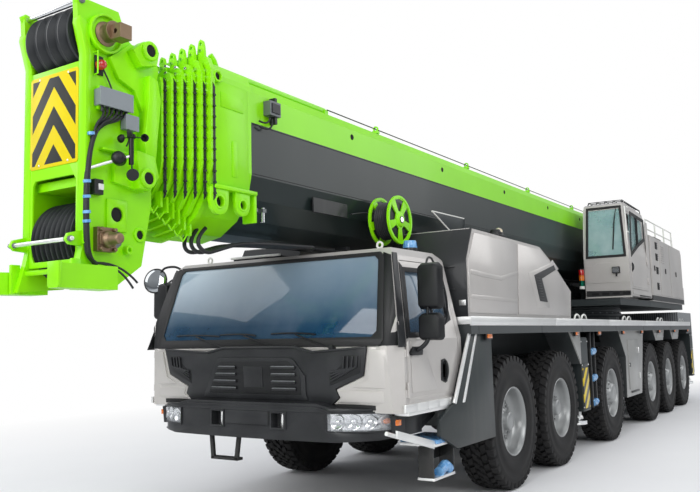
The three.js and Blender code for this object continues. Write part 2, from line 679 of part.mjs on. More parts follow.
// base section with its wide front frame, foot pin and the bracket of the lift cylinder
const eyeOnBoom = new THREE.Vector3(
  LIFT_EYE.x - FOOT_PIN.x, 0, LIFT_EYE.z - FOOT_PIN.z,
).applyAxisAngle(new THREE.Vector3(0, 1, 0), -NOSE_DOWN);
const bracket = (side) => slabY([
  [eyeOnBoom.x - 420, BASE.bottom + 260], [eyeOnBoom.x - 130, eyeOnBoom.z - 120],
  [eyeOnBoom.x + 130, eyeOnBoom.z - 120], [eyeOnBoom.x + 420, BASE.bottom + 260],
], ...span(side, 150, 200));
const frontFrame = cut(
  sectionBar(34, BOOM_FRONT - 490, BOOM_FRONT - 20),
  sectionBar(-5, BOOM_FRONT - 700, BOOM_FRONT + 100),
);
const tubeGuide = join(
  rod([11100, 300, 790], [12690, 300, 790], 38, 12),
  box([11080, 11130], [250, 350], [700, 800]),
  box([12560, 12610], [250, 350], [700, 800]),
);
const reelAhead = REEL.x - FOOT_PIN.x;
const REEL_ON_BOOM = {
  x: reelAhead,
  z: REEL.z - FOOT_PIN.z + Math.sin(NOSE_DOWN) * reelAhead,
};
const reelPin = rod(
  [REEL_ON_BOOM.x, BASE.half / 2, REEL_ON_BOOM.z],
  [REEL_ON_BOOM.x, REEL.y + REEL.half + 20, REEL_ON_BOOM.z],
  REEL.pin,
);
const fittings = cut(
  join(bothSides(bracket), tubeGuide, reelPin),
  sectionBar(-TUBE_WALL, BOOM_TAIL, BOOM_FRONT + 100),
);
piece("boom_base", join(
  boomTube(0),
  frontFrame,
  fittings,
  pinAt(0, 0, CHEEK_OUT - 5, FOOT_PIN.radius, 20),
), LIME, boom);
piece("hose_reel", cut(
  turned([
    [0, -REEL.half], [REEL.radius, -REEL.half], [REEL.radius, -REEL.half + 12],
    [REEL.radius - 60, -REEL.half + 12], [REEL.radius - 60, REEL.half - 12],
    [REEL.radius, REEL.half - 12], [REEL.radius, REEL.half], [0, REEL.half],
  ], 16),
  boreAt(0, 0, REEL.pin),
), LIME, boom).position.set(REEL_ON_BOOM.x, REEL.y, REEL_ON_BOOM.z);

for (let i = 1; i < SECTIONS - 1; i += 1) {
  piece(`boom_section_${i + 1}`, boomTube(i), LIME, boom);
}

// last section with the head: two side plates, a front plate and the cross boxes
const last = SECTIONS - 1;
const headX = (x) => BOOM_FRONT + x;
const headOutline = (points) => points.map(([x, z]) => [headX(x), z]);
const HEAD_SIDE = headOutline([
  [430, -820], [640, -960], [1000, -990], [HEAD_FRONT + 20, -790], [HEAD_FRONT, -700],
  [HEAD_FRONT, 560], [975, 760], [985, 935], [640, 935], [560, 760], [350, 640], [340, -380],
]);
const plateIn = BASE.half - SECTION_STEP * last + 8;
const headPlate = (side) => slabY(HEAD_SIDE, ...span(side, plateIn, plateIn + HEAD_PLATE));
const guardArm = (side) => slabZ([
  [headX(760), side * (plateIn + 10)], [headX(1250), side * (plateIn + 150)],
  [headX(1250), side * (plateIn + 240)], [headX(760), side * (plateIn + 190)],
], -1000, -850);
const headTube = cut(
  sectionBar(-SECTION_STEP * last, sectionTail(last), headX(420)),
  sectionBar(-SECTION_STEP * last - TUBE_WALL, sectionTail(last) - 10, headX(360)),
);
const across = (x, z) => box([headX(x[0]), headX(x[1])], [-plateIn - 5, plateIn + 5], z);
const topPin = boreAt(headX(TOP_SHEAVE.x), TOP_SHEAVE.z, TOP_SHEAVE.pin);
const lowPin = boreAt(headX(LOW_SHEAVE.x), LOW_SHEAVE.z, LOW_SHEAVE.pin);
piece("boom_head", cut(
  join(
    headTube,
    headPlate(1),
    headPlate(-1),
    guardArm(1),
    guardArm(-1),
    across([HEAD_FRONT - 40, HEAD_FRONT - 5], [-170, 480]),
    across([340, 385], [-560, 560]),
    across([350, HEAD_FRONT - 60], [-300, -240]),
    across([350, HEAD_FRONT - 60], [330, 390]),
    pinAt(headX(950), 910, plateIn + 30, 15, 8),
    pinAt(headX(HEAD_FRONT + 10), -860, plateIn + 30, 18, 8),
  ),
  topPin,
  lowPin,
), LIME, boom);

// sheave packs: grooved discs on one pin
function sheavePack(count, radius, pin, half) {
  const depth = 45;
  const pitch = (2 * half) / count;
  const rim = [];
  for (let k = 0; k < count; k += 1) {
    const y = -half + pitch * k;
    rim.push([radius, y], [radius - depth, y + pitch / 2]);
  }
  rim.push([radius, half]);
  const end = plateIn + HEAD_PLATE;
  return turned([
    [0, -end], [pin, -end], [pin, -half], ...rim, [pin, half], [pin, end], [0, end],
  ], 12);
}
piece("top_sheaves", sheavePack(3, TOP_SHEAVE.radius, TOP_SHEAVE.pin, plateIn - 20), BLACK, boom)
  .position.set(headX(TOP_SHEAVE.x), 0, TOP_SHEAVE.z);
piece("bottom_sheaves", sheavePack(5, LOW_SHEAVE.radius, LOW_SHEAVE.pin, plateIn - 20), BLACK, boom)
  .position.set(headX(LOW_SHEAVE.x), 0, LOW_SHEAVE.z);

// ---- lift cylinder from the platform to the boom ----
const liftLength = Math.hypot(LIFT_EYE.x - LIFT_FOOT.x, LIFT_EYE.z - LIFT_FOOT.z);
const lift = new THREE.Group();
lift.position.set(LIFT_FOOT.x, 0, LIFT_FOOT.z);
lift.rotation.y = -Math.atan2(LIFT_EYE.z - LIFT_FOOT.z, LIFT_EYE.x - LIFT_FOOT.x);
crane.add(lift);
const barrelEnd = liftLength - BARREL_DEAD;
const ROD_TAIL = 380;
piece("lift_cylinder", cut(
  join(
    rod([180, 0, 0], [barrelEnd, 0, 0], BARREL_RADIUS, 16),
    box([0, 220], [-110, 110], [-110, 110]),
    pinAt(0, 0, 110, 125, 12),
  ),
  boreAt(0, 0, LIFT_PIN),
  sleeve([ROD_TAIL - 60, 0, 0], [barrelEnd + 10, 0, 0], ROD_RADIUS),
), DARK, lift);
piece("lift_rod", cut(
  join(
    rod([ROD_TAIL, 0, 0], [liftLength - 60, 0, 0], ROD_RADIUS),
    pinAt(liftLength, 0, 100, 125, 12),
  ),
  boreAt(liftLength, 0, LIFT_PIN + 10),
), STEEL, lift);

// ---- centre the crane on its footprint ----
const extent = new THREE.Box3().setFromObject(crane, true);
crane.position.x = -(extent.min.x + extent.max.x) / 2;
crane.updateMatrixWorld(true);

export default crane;
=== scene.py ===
import math

import bpy
from mathutils import Matrix, Vector


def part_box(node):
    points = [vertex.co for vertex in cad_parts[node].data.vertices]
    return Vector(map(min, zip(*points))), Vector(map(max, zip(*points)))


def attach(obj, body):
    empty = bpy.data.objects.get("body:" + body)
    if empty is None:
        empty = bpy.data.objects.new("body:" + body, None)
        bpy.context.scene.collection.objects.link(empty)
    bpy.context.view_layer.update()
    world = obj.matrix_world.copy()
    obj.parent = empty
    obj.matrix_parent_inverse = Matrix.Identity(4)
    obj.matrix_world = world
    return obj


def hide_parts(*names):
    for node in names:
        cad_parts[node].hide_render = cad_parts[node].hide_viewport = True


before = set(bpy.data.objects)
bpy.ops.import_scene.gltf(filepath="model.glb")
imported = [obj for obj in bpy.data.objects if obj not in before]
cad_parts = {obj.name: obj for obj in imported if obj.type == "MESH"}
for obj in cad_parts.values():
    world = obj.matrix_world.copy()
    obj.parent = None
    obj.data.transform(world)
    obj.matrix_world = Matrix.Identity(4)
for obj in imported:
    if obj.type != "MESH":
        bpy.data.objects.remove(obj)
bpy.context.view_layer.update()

bpy.ops.object.select_all(action="DESELECT")

# ---- Studio ----
# A pale floor with soft daylight from large lamps on the camera's side, and a white background.
# Lengths along the crane are counted from its first axle, whose place comes from the frame.
AXLE_1 = (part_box("wheel_1_left")[0].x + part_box("wheel_1_left")[1].x) / 2
EYE = Vector((AXLE_1 + 7.765, 4.358, 1.594))
HEADING, TILT, ROLL = math.radians(32.387), math.radians(6.695), math.radians(-1.198)
ahead = Vector((-math.cos(HEADING) * math.cos(TILT), -math.sin(HEADING) * math.cos(TILT), math.sin(TILT)))
level = Vector((-math.sin(HEADING), math.cos(HEADING), 0))
upward = level.cross(ahead)
rolled = level * math.cos(ROLL) + upward * math.sin(ROLL)
risen = upward * math.cos(ROLL) - level * math.sin(ROLL)
bpy.ops.object.camera_add(location=EYE)
camera = bpy.context.object
camera.matrix_world = Matrix.Translation(EYE) @ Matrix((rolled, risen, -ahead)).transposed().to_4x4()
camera.data.sensor_width, camera.data.lens, camera.data.clip_end = 36, 39.53, 300
bpy.context.scene.camera = camera
bpy.context.scene.view_settings.view_transform = "Standard"


class Wire:
    """An output socket of a shader node. Arithmetic on it adds Math nodes to its tree."""

    def __init__(self, tree, socket=None):
        self.tree, self.socket = tree, socket

    def node(self, kind, settings, sockets, out=0):
        made = self.tree.nodes.new("ShaderNode" + kind)
        for key, value in settings.items():
            if key == "stops":
                while len(made.color_ramp.elements) < len(value):
                    made.color_ramp.elements.new(0.5)
                for stop, (place, colour) in zip(made.color_ramp.elements, value):
                    stop.position, stop.color = place, (*colour, 1)
            else:
                setattr(made, key, value)
        for key, value in sockets.items():
            if isinstance(value, Wire):
                self.tree.links.new(value.socket, made.inputs[key])
            else:
                made.inputs[key].default_value = value
        return Wire(self.tree, made.outputs[out])

    def maths(self, operation, *values):
        return self.node("Math", {"operation": operation}, dict(enumerate(values)))

    def __add__(self, other):
        return self.maths("ADD", self, other)

    def __sub__(self, other):
        return self.maths("SUBTRACT", self, other)

    def __rsub__(self, other):
        return self.maths("SUBTRACT", other, self)

    def __mul__(self, other):
        return self.maths("MULTIPLY", self, other)

    def __truediv__(self, other):
        return self.maths("DIVIDE", self, other)

    def __gt__(self, other):
        return self.maths("GREATER_THAN", self, other)

    def __lt__(self, other):
        return self.maths("LESS_THAN", self, other)

    def __abs__(self):
        return self.maths("ABSOLUTE", self)

    __radd__, __rmul__ = __add__, __mul__

    def ramp(self, low, high):
        """0 below low and 1 above high, or the reverse, with a straight run between."""
        sockets = {"Value": self, "From Min": low, "From Max": high}
        return self.node("MapRange", {"clamp": True}, sockets)

    def mix(self, a, b):
        """Colour a where this is 0 and colour b where it is 1."""
        a, b = (c if isinstance(c, Wire) else (*c, 1) for c in (a, b))
        return self.node("Mix", {"data_type": "RGBA"}, {0: self, 6: a, 7: b}, 2)


def colour(red, green, blue):
    """Linear light from the 0 to 255 values that a paint chart gives."""
    return tuple(((c / 255 + 0.055) / 1.055) ** 2.4 if c > 10 else c / 3294.6 for c in (red, green, blue))


def blank(name):
    """A new material, and a wire at the start of its tree."""
    material = bpy.data.materials.new(name)
    material.use_nodes = True
    return material, Wire(material.node_tree)


def surface(material, sockets):
    """Sets the sockets of the material's own shader."""
    tree = material.node_tree
    shader = tree.nodes["Principled BSDF"]
    for key, value in sockets.items():
        if isinstance(value, Wire):
            tree.links.new(value.socket, shader.inputs[key])
        else:
            shader.inputs[key].default_value = value
    return material


def noise(wire, scale, detail=4.0, stretch=(1, 1, 1), rough=0.55):
    """Smooth noise on the piece's own coordinates, in cycles a metre."""
    at = wire.node("TexCoord", {}, {}, "Object")
    at = wire.node("Mapping", {}, {"Vector": at, "Scale": stretch})
    return wire.node("TexNoise", {}, {"Vector": at, "Scale": scale, "Detail": detail, "Roughness": rough})


def axis(wire, name):
    """A coordinate of the piece, in metres."""
    return wire.node("SeparateXYZ", {}, {"Vector": wire.node("TexCoord", {}, {}, "Object")}, name)


FLOOR_SIZE, MIDDLE_X = 140, AXLE_1 - 4
bpy.ops.mesh.primitive_plane_add(size=FLOOR_SIZE, location=(MIDDLE_X, 0, 0))
floor = bpy.context.object
floor.name = "floor"
bpy.ops.object.transform_apply(location=True)
pale, wire = blank("pale_floor")
shade = noise(wire, 0.6).ramp(0.2, 0.8).mix((0.8, 0.8, 0.8), (0.84, 0.84, 0.84))
floor.data.materials.append(surface(pale, {"Base Color": shade, "Roughness": 0.85}))
glow = wire.node("Emission", {}, {"Color": (1, 1, 1, 1), "Strength": 1.0})
far = abs(axis(wire, "X") - MIDDLE_X).ramp(8.5, 15)
deep = abs(axis(wire, "Y")).ramp(3.0, 10)
seen = wire.node("LightPath", {}, {}, "Is Camera Ray")
both = wire.node("MixShader", {}, {
    0: seen * far.maths("MAXIMUM", far, deep),
    1: Wire(pale.node_tree, pale.node_tree.nodes["Principled BSDF"].outputs[0]), 2: glow})
pale.node_tree.links.new(both.socket, pale.node_tree.nodes["Material Output"].inputs["Surface"])

world = bpy.data.worlds.new("soft_daylight")
bpy.context.scene.world = world
world.use_nodes = True
wire = Wire(world.node_tree)
paths = [wire.node("LightPath", {}, {}, out) for out in ("Is Camera Ray", "Is Transmission Ray")]
seen = paths[0].maths("MAXIMUM", *paths)
shiny = wire.node("LightPath", {}, {}, "Is Glossy Ray")
high = wire.node("SeparateXYZ", {}, {"Vector": wire.node("TexCoord", {}, {}, "Generated")}, "Z")
sky = high.ramp(-0.05, 0.35).mix((0.2, 0.21, 0.22), (0.6, 0.62, 0.64))
sky = shiny.mix((0.5, 0.52, 0.56), sky)
sky = seen.mix(sky, (1, 1, 1))
shell = wire.node("Background", {}, {"Color": sky, "Strength": 1.0})
world.node_tree.links.new(shell.socket, world.node_tree.nodes["World Output"].inputs["Surface"])

LAMPS = [
    ("front_left", (AXLE_1 + 9, 13, 11), 9, 1000),
    ("front_right", (AXLE_1 + 8, -11, 9), 9, 560),
    ("front", (AXLE_1 + 17, 2, 7), 7, 1150),
    ("rear_left", (AXLE_1 - 14, 12, 10), 10, 600),
    ("overhead", (MIDDLE_X, 1, 17), 14, 760),
]
for name, place, size, power in LAMPS:
    bpy.ops.object.light_add(type="AREA", location=place)
    lamp = bpy.context.object
    lamp.name = "lamp_" + name
    lamp.data.size, lamp.data.energy = size, power
    aim = Vector((AXLE_1 - 3, 0, 1.5)) - Vector(place)
    lamp.rotation_euler = aim.to_track_quat("-Z", "Y").to_euler()
bpy.ops.object.select_all(action="DESELECT")

# ---- Chassis ----
# The box girder, axles and steering knuckles are welded and cast steel under dark grey enamel.
# Road dust settles on them from the ground up.
def enamel(name, base, roughness=0.35, metallic=0.0, coat=0.3, dust=0.25, dust_top=1.6, fleck=0.0,
           tint=None):
    """Sprayed enamel: slow shade changes, rain streaks, orange peel, and road dust low down."""
    material, wire = blank(name)
    slow = noise(wire, 0.9, 5)
    streak = noise(wire, 7, 3, (1, 1, 0.08))
    ground = axis(wire, "Z").ramp(dust_top, dust_top - 1.5) * noise(wire, 3.2, 7, rough=0.7).ramp(0.35, 0.75)
    deeper = tuple(c * 0.86 for c in base)
    lighter = tuple(min(c * 1.07, 1) for c in base)
    body = tint(wire) if tint else slow.ramp(0.3, 0.7).mix(deeper, lighter)
    if tint:
        body = (slow.ramp(0.3, 0.7) * 0.1).mix(body, (0.02, 0.02, 0.02))
    if fleck:
        spark = noise(wire, 900, 1).ramp(0.45, 0.75) * fleck
        body = spark.mix(body, (0.9, 0.9, 0.9))
    body = (streak.ramp(0.58, 0.85) * 0.1 * (dust * 4)).mix(body, (0.16, 0.15, 0.13))
    body = (ground * dust).mix(body, (0.15, 0.135, 0.115))
    gloss = slow.ramp(0.2, 0.8) * 0.08 + (roughness - 0.04) + ground * dust * 0.4
    peel = wire.node("Bump", {}, {"Strength": 0.06, "Distance": 0.002, "Height": noise(wire, 160, 2)})
    return surface(material, {
        "Base Color": body, "Roughness": gloss, "Metallic": metallic, "Coat Weight": coat,
        "Coat Roughness": 0.1, "Specular IOR Level": 0.3, "Normal": peel})


def coat_nodes(material, *names):
    """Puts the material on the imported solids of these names."""
    for name in names:
        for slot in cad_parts[name].material_slots:
            slot.material = material


DARK_GREY = colour(44, 50, 51)
dark_enamel = enamel("dark_enamel", DARK_GREY, 0.42, 0.1, 0.1, 0.4, 1.1)
steered = [f"knuckle_{axle}_{side}" for axle in (1, 2, 3, 5, 6) for side in ("left", "right")]
coat_nodes(dark_enamel, "chassis_frame", "front_axles", "rear_axles", *steered)
lime = colour(138, 222, 0)
lime_enamel = enamel("lime_enamel", lime, 0.36, 0.0, 0.12, 0.04, 1.2)
silver_enamel = enamel("silver_enamel", colour(188, 184, 180), 0.36, 0.35, 0.25, 0.08, 1.2, 0.1)
coat_nodes(lime_enamel, *[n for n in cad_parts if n.startswith("boom") or n == "hose_reel"])
coat_nodes(silver_enamel, "driver_cab", "cab_door_left", "cab_door_right", "engine_hood", "operator_cab",
           "operator_door", "machinery_house")
coat_nodes(dark_enamel, *[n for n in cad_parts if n.startswith("outrigger")], "deck_and_lockers",
           "slewing_platform", "winch_drum", "lift_cylinder", "bumper")

# ---- Wheels ----
# Off-road radial tyres, 1.37 m across, on painted steel wheels held by ten nuts.
# The first two axles have dished wheels; the driven axles behind them have domed planetary hubs.
CRANE = Matrix.Translation((AXLE_1, 0, 0))
MIRROR = Matrix.Diagonal((1, -1, 1, 1))
PLANES = {"XZ": (0, 2, 1), "YZ": (1, 2, 0), "XY": (0, 1, 2)}


def taken(material):
    """The part that an operator just added, with its place in its mesh and its material on."""
    bpy.ops.object.transform_apply(location=True, rotation=True, scale=True)
    part = bpy.context.object
    part.data.materials.clear()
    part.data.materials.append(material)
    return part


def block(low, high, material):
    low, high = Vector(low), Vector(high)
    bpy.ops.mesh.primitive_cube_add(size=1, location=(low + high) / 2, scale=high - low)
    return taken(material)


def rod(start, end, radius, material, sides=20, tip=None):
    run = Vector(end) - Vector(start)
    bpy.ops.mesh.primitive_cone_add(
        vertices=sides, radius1=radius, radius2=radius if tip is None else tip, depth=run.length,
        location=(Vector(end) + Vector(start)) / 2, rotation=run.to_track_quat("Z", "Y").to_euler())
    return taken(material)


def edit_all():
    bpy.ops.object.mode_set(mode="EDIT")
    bpy.ops.mesh.select_all(action="SELECT")


def right_way_out():
    bpy.ops.mesh.select_all(action="SELECT")
    bpy.ops.mesh.normals_make_consistent(inside=False)
    bpy.ops.object.mode_set(mode="OBJECT")


def plate(plane, outline, near, far, material):
    """Sheet or slab: an outline in a plane, pulled out along the third axis from near to far."""
    a, b, c = PLANES[plane]
    bpy.ops.mesh.primitive_circle_add(vertices=len(outline), fill_type="NGON")
    for vertex, point in zip(bpy.context.object.data.vertices, outline):
        vertex.co[a], vertex.co[b], vertex.co[c] = *point, near
    edit_all()
    pull = [0, 0, 0]
    pull[c] = far - near
    bpy.ops.mesh.extrude_region_move(TRANSFORM_OT_translate={"value": pull})
    right_way_out()
    return taken(material)


def turned(profile, centre, along, material, steps=48):
    """A closed outline of (radius, length) points spun about an axis through centre."""
    centre, along = Vector(centre), Vector(along)
    across = Vector((1, 0, 0)) if abs(along.x) < 0.5 else Vector((0, 0, 1))
    bpy.ops.mesh.primitive_circle_add(vertices=len(profile), fill_type="NOTHING")
    for vertex, (radius, length) in zip(bpy.context.object.data.vertices, profile):
        vertex.co = centre + across * radius + along * length
    edit_all()
    bpy.ops.mesh.spin(steps=steps, angle=math.tau, center=centre, axis=along)
    bpy.ops.mesh.select_all(action="SELECT")
    bpy.ops.mesh.remove_doubles(threshold=1e-5)
    right_way_out()
    return taken(material)


def copy(part, matrix):
    """A copy with its own mesh, moved by the matrix."""
    twin = part.copy()
    twin.data = part.data.copy()
    bpy.context.scene.collection.objects.link(twin)
    twin.data.transform(matrix)
    if matrix.determinant() < 0:
        twin.data.flip_normals()
    return twin


def both_sides(*parts):
    return [*parts, *[copy(part, MIRROR) for part in parts]]


def ring(part, count, centre, along):
    """The part and its copies, evenly spaced round an axis."""
    to, back = Matrix.Translation(centre), Matrix.Translation(-Vector(centre))
    turns = [math.tau * i / count for i in range(1, count)]
    return [part, *[copy(part, to @ Matrix.Rotation(turn, 4, along) @ back) for turn in turns]]


def hollow(part, *tools):
    """Cuts the tools out of the part."""
    for tool in tools:
        cut = part.modifiers.new("cut", "BOOLEAN")
        cut.object, cut.solver = tool, "EXACT"
        bpy.context.view_layer.objects.active = part
        bpy.ops.object.modifier_apply(modifier=cut.name)
        bpy.data.objects.remove(tool)
    return part


def joined(parts):
    bpy.ops.object.select_all(action="DESELECT")
    for part in parts:
        part.select_set(True)
    bpy.context.view_layer.objects.active = parts[0]
    if len(parts) > 1:
        bpy.ops.object.join()
    return bpy.context.object


def rounded(part, width, segments=2, angle=35):
    """Breaks the sharp edges."""
    bpy.context.view_layer.objects.active = part
    soft = part.modifiers.new("edges", "BEVEL")
    soft.width, soft.segments = width, segments
    soft.limit_method, soft.angle_limit = "ANGLE", math.radians(angle)
    bpy.ops.object.modifier_apply(modifier=soft.name)
    return part


def fitted(name, parts, body, edge=0.004, base=None, segments=2, stands_for=()):
    """Joins the parts to one named piece, in place on its body."""
    piece = joined(parts)
    if edge:
        rounded(piece, edge, segments)
    piece.data.transform(base or CRANE)
    piece.name = piece.data.name = name
    piece.select_set(True)
    bpy.context.view_layer.objects.active = piece
    bpy.ops.object.shade_smooth_by_angle(angle=math.radians(38))
    bpy.ops.object.select_all(action="DESELECT")
    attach(piece, body)
    if stands_for:
        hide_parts(*stands_for)
    return piece


rubber, wire = blank("tyre_rubber")
worn = noise(wire, 6, 6).ramp(0.3, 0.75)
fine = noise(wire, 260, 2)
rubber = surface(rubber, {
    "Base Color": worn.mix((0.01, 0.01, 0.011), (0.028, 0.027, 0.026)),
    "Roughness": worn * 0.15 + 0.62, "Specular IOR Level": 0.2,
    "Normal": wire.node("Bump", {}, {"Strength": 0.12, "Distance": 0.002, "Height": fine})})
wheel_paint = enamel("wheel_paint", colour(158, 160, 160), 0.36, 0.6, 0.2, 0.35, 1.3)
# Near-black painted shade for the insides of holes, bores, slots and vents and the wheels' hollow backs; it
# also draws the thin dark joint lines in the deck skirt.
hole_shade_and_joint_black = enamel("hole_shade_and_joint_black", (0.008, 0.008, 0.009), 0.8, 0, 0, 0)

TYRE_R, TYRE_HALF, TYRE_FACE, LUGS = 0.685, 0.1925, 1.43, 40
WALL = [(0.338, 0.148), (0.352, 0.168), (0.372, 0.174), (0.378, 0.181), (0.43, 0.188), (0.436, 0.192),
        (0.5, 0.1925), (0.506, 0.19), (0.57, 0.186), (0.576, 0.189), (0.6, 0.185), (0.64, 0.174),
        (0.655, 0.16), (0.662, 0.14), (0.664, 0.05)]
section = WALL + [(r, -y) for r, y in reversed(WALL)] + [(0.325, -0.13), (0.325, 0.13)]
tyre = turned(section, (0, 0, 0), (0, 1, 0), rubber, 72)
lugs = []
for y0, y1, skew, phase, wide in ((0.118, 0.183, 0.012, 0.0, 0.066), (0.052, 0.108, -0.016, 0.5, 0.074),
                                  (-0.003, 0.044, 0.016, 0.0, 0.07)):
    for side in (1, -1):
        half, low, top = wide / 2, 0.652, TYRE_R
        inner, outer = sorted((side * y0, side * y1))
        lug = block((-half, inner, low), (half, outer, top), rubber)
        for vertex in lug.data.vertices:
            vertex.co.x += skew * (1 if abs(vertex.co.y) > (y0 + y1) / 2 else -1) * side
            if abs(vertex.co.y) > 0.17:
                vertex.co.z -= 0.016 if vertex.co.z > 0.67 else 0.04
            if vertex.co.z > 0.67:
                vertex.co.x *= 0.86
        turn = Matrix.Rotation(math.tau / LUGS * (phase + (0 if side > 0 else 0.5)), 4, "Y")
        lug.data.transform(turn)
        lugs += ring(lug, LUGS, (0, 0, 0), "Y")
tyre = joined([tyre, *lugs])

FLANGE = [(0.34, 0.152), (0.352, 0.16), (0.352, 0.17), (0.343, 0.173), (0.334, 0.166)]
RIM_BACK = [(0.318, -0.15), (0.33, -0.15)]
dish = turned([*FLANGE, (0.318, 0.12), (0.312, 0.06), (0.292, 0.035), (0.262, 0.012), (0.21, 0.022),
               (0.18, 0.046), (0.14, 0.046), (0.128, 0.03), (0.128, -0.02), (0.25, -0.02), (0.3, 0.01),
               *RIM_BACK], (0, 0, 0), (0, 1, 0), wheel_paint, 60)
slot_tool = rod((0.243, -0.06, 0), (0.243, 0.09, 0), 0.024, wheel_paint, 14)
dish = hollow(dish, joined(ring(slot_tool, 10, (0, 0, 0), "Y")))
# Near-black disc behind the dish: painted shade seen through its slots.
back = turned([(0.0, -0.06), (0.31, -0.06), (0.31, -0.05), (0.0, -0.05)], (0, 0, 0), (0, 1, 0), hole_shade_and_joint_black,
              32)
nut = turned([(0.0, 0.04), (0.0155, 0.04), (0.0155, 0.066), (0.009, 0.068), (0.009, 0.08), (0, 0.08)],
             (0.1675, 0, 0), (0, 1, 0), wheel_paint, 6)
hub = turned([(0.0, 0.0), (0.132, 0.0), (0.132, 0.06), (0.122, 0.07), (0.098, 0.076), (0.094, 0.125),
              (0.082, 0.136), (0.03, 0.139), (0.0, 0.139)], (0, 0, 0), (0, 1, 0), wheel_paint, 40)
cap_bolt = rod((0.11, 0.06, 0), (0.11, 0.08, 0), 0.008, wheel_paint, 6)
front_wheel = joined([copy(tyre, Matrix()), dish, back, hub, *ring(nut, 10, (0, 0, 0), "Y"),
                      *ring(cap_bolt, 8, (0, 0, 0), "Y")])

plain = turned([*FLANGE, (0.318, 0.12), (0.312, 0.085), (0.29, 0.075), (0.24, 0.07), (0.225, 0.052),
                (0.19, 0.05), (0.19, 0.0), (0.3, 0.02), *RIM_BACK], (0, 0, 0), (0, 1, 0), wheel_paint,
               60)
slot_tool = rod((0.262, -0.02, 0), (0.262, 0.13, 0), 0.021, wheel_paint, 14)
plain = hollow(plain, joined(ring(slot_tool, 10, (0, 0, 0), "Y")))
dome = turned([(0.0, 0.0), (0.2, 0.0), (0.2, 0.058), (0.196, 0.068), (0.178, 0.072), (0.176, 0.118),
               (0.168, 0.132), (0.148, 0.152), (0.14, 0.172), (0.126, 0.19), (0.094, 0.199),
               (0.05, 0.2015),
               (0.044, 0.196), (0.0, 0.196)], (0, 0, 0), (0, 1, 0), wheel_paint, 48)
dome_bolt = rod((0.187, 0.06, 0), (0.187, 0.08, 0), 0.0075, wheel_paint, 6)
nut = turned([(0.0, 0.045), (0.0145, 0.045), (0.0145, 0.07), (0.009, 0.072), (0.009, 0.083), (0, 0.083)],
             (0.213, 0, 0), (0, 1, 0), wheel_paint, 6)
rib = block((-0.006, 0.12, 0.15), (0.006, 0.16, 0.168), wheel_paint)
# Near-black block in the hub's hollow back: painted shade.
core = block((-0.1, -0.06, -0.1), (0.1, 0.0, 0.1), hole_shade_and_joint_black)
rear_wheel = joined([tyre, plain, dome, core, *ring(nut, 10, (0, 0, 0), "Y"),
                     *ring(dome_bolt, 16, (0, 0, 0), "Y"), *ring(rib, 12, (0, 0, 0), "Y")])

for axle in range(1, 7):
    for side, facing in (("left", 0), ("right", math.pi)):
        node = f"wheel_{axle}_{side}"
        low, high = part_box(node)
        middle = Vector(((low.x + high.x) / 2, (1 if side == "left" else -1) * (TYRE_FACE - TYRE_HALF),
                         TYRE_R))
        pattern = front_wheel if axle < 3 else rear_wheel
        at = Matrix.Translation(middle) @ Matrix.Rotation(facing, 4, "Z") @ Matrix.Rotation(axle * 0.37, 4,
                                                                                            "Y")
        fitted("road_wheel_" + node[6:], [copy(pattern, at)], node, 0.0025, Matrix(), 1,
               (node,))
for pattern in (front_wheel, rear_wheel):
    bpy.data.objects.remove(pattern)

# ---- Deck, lockers and rear box ----
# Chequered aluminium deck with an extruded aluminium edge, on grey sheet-steel skirts and lockers.
# Marker lamps sit in the skirt, and welded eyes take lashing straps.
def tube(points, radius, material, smooth=True, sides=3, closed=False):
    """A bent bar, pipe or hose along the points."""
    run = bpy.data.curves.new("run", "CURVE")
    run.dimensions, run.bevel_depth, run.bevel_resolution = "3D", radius, sides
    run.use_fill_caps, run.resolution_u = True, 5
    line = run.splines.new("NURBS" if smooth else "POLY")
    line.points.add(len(points) - 1)
    for point, place in zip(line.points, points):
        point.co = (*place, 1)
    line.use_endpoint_u, line.order_u, line.use_cyclic_u = True, 3, closed
    part = bpy.data.objects.new("run", run)
    bpy.context.scene.collection.objects.link(part)
    bpy.ops.object.select_all(action="DESELECT")
    part.select_set(True)
    bpy.context.view_layer.objects.active = part
    bpy.ops.object.convert(target="MESH")
    return taken(material)


def metal(name, base, roughness, stretch=(1, 60, 60), grain=9):
    """Bare metal with drawing or grinding marks along one axis."""
    material, wire = blank(name)
    lines = noise(wire, grain, 3, stretch)
    stains = noise(wire, 2.2, 5).ramp(0.45, 0.8)
    body = lines.ramp(0.2, 0.8).mix(tuple(c * 0.85 for c in base), base)
    body = (stains * 0.25).mix(body, tuple(c * 0.55 for c in base))
    return surface(material, {
        "Base Color": body, "Metallic": 1.0, "Roughness": lines * 0.14 + stains * 0.12 + (roughness - 0.08),
        "Normal": wire.node("Bump", {}, {"Strength": 0.05, "Distance": 0.001, "Height": lines})})


def lens(name, base):
    """Moulded lamp lens with fine prisms behind a smooth face."""
    material, wire = blank(name)
    prisms = noise(wire, 190, 1, (1, 1, 0.35))
    return surface(material, {
        "Base Color": prisms.ramp(0.3, 0.7).mix(tuple(c * 0.55 for c in base), base), "Roughness": 0.12,
        "Coat Weight": 1.0,
        "Normal": wire.node("Bump", {}, {"Strength": 0.25, "Distance": 0.003, "Height": prisms})})


def hazard(name, pitch):
    """Retroreflective board: yellow and black bands that slope at 45 degrees."""
    material, wire = blank(name)
    band = (axis(wire, "Z") + axis(wire, "X")) / pitch
    band = band.maths("FRACT", band) > 0.5
    cells = noise(wire, 420, 1)
    dirt = noise(wire, 5, 5).ramp(0.35, 0.8)
    body = band.mix(colour(222, 194, 6), (0.02, 0.022, 0.024))
    body = (dirt * 0.12).mix(body, (0.25, 0.22, 0.15))
    return surface(material, {
        "Base Color": body, "Roughness": dirt * 0.15 + 0.38, "Coat Weight": 0.4,
        "Normal": wire.node("Bump", {}, {"Strength": 0.06, "Distance": 0.001, "Height": cells})})


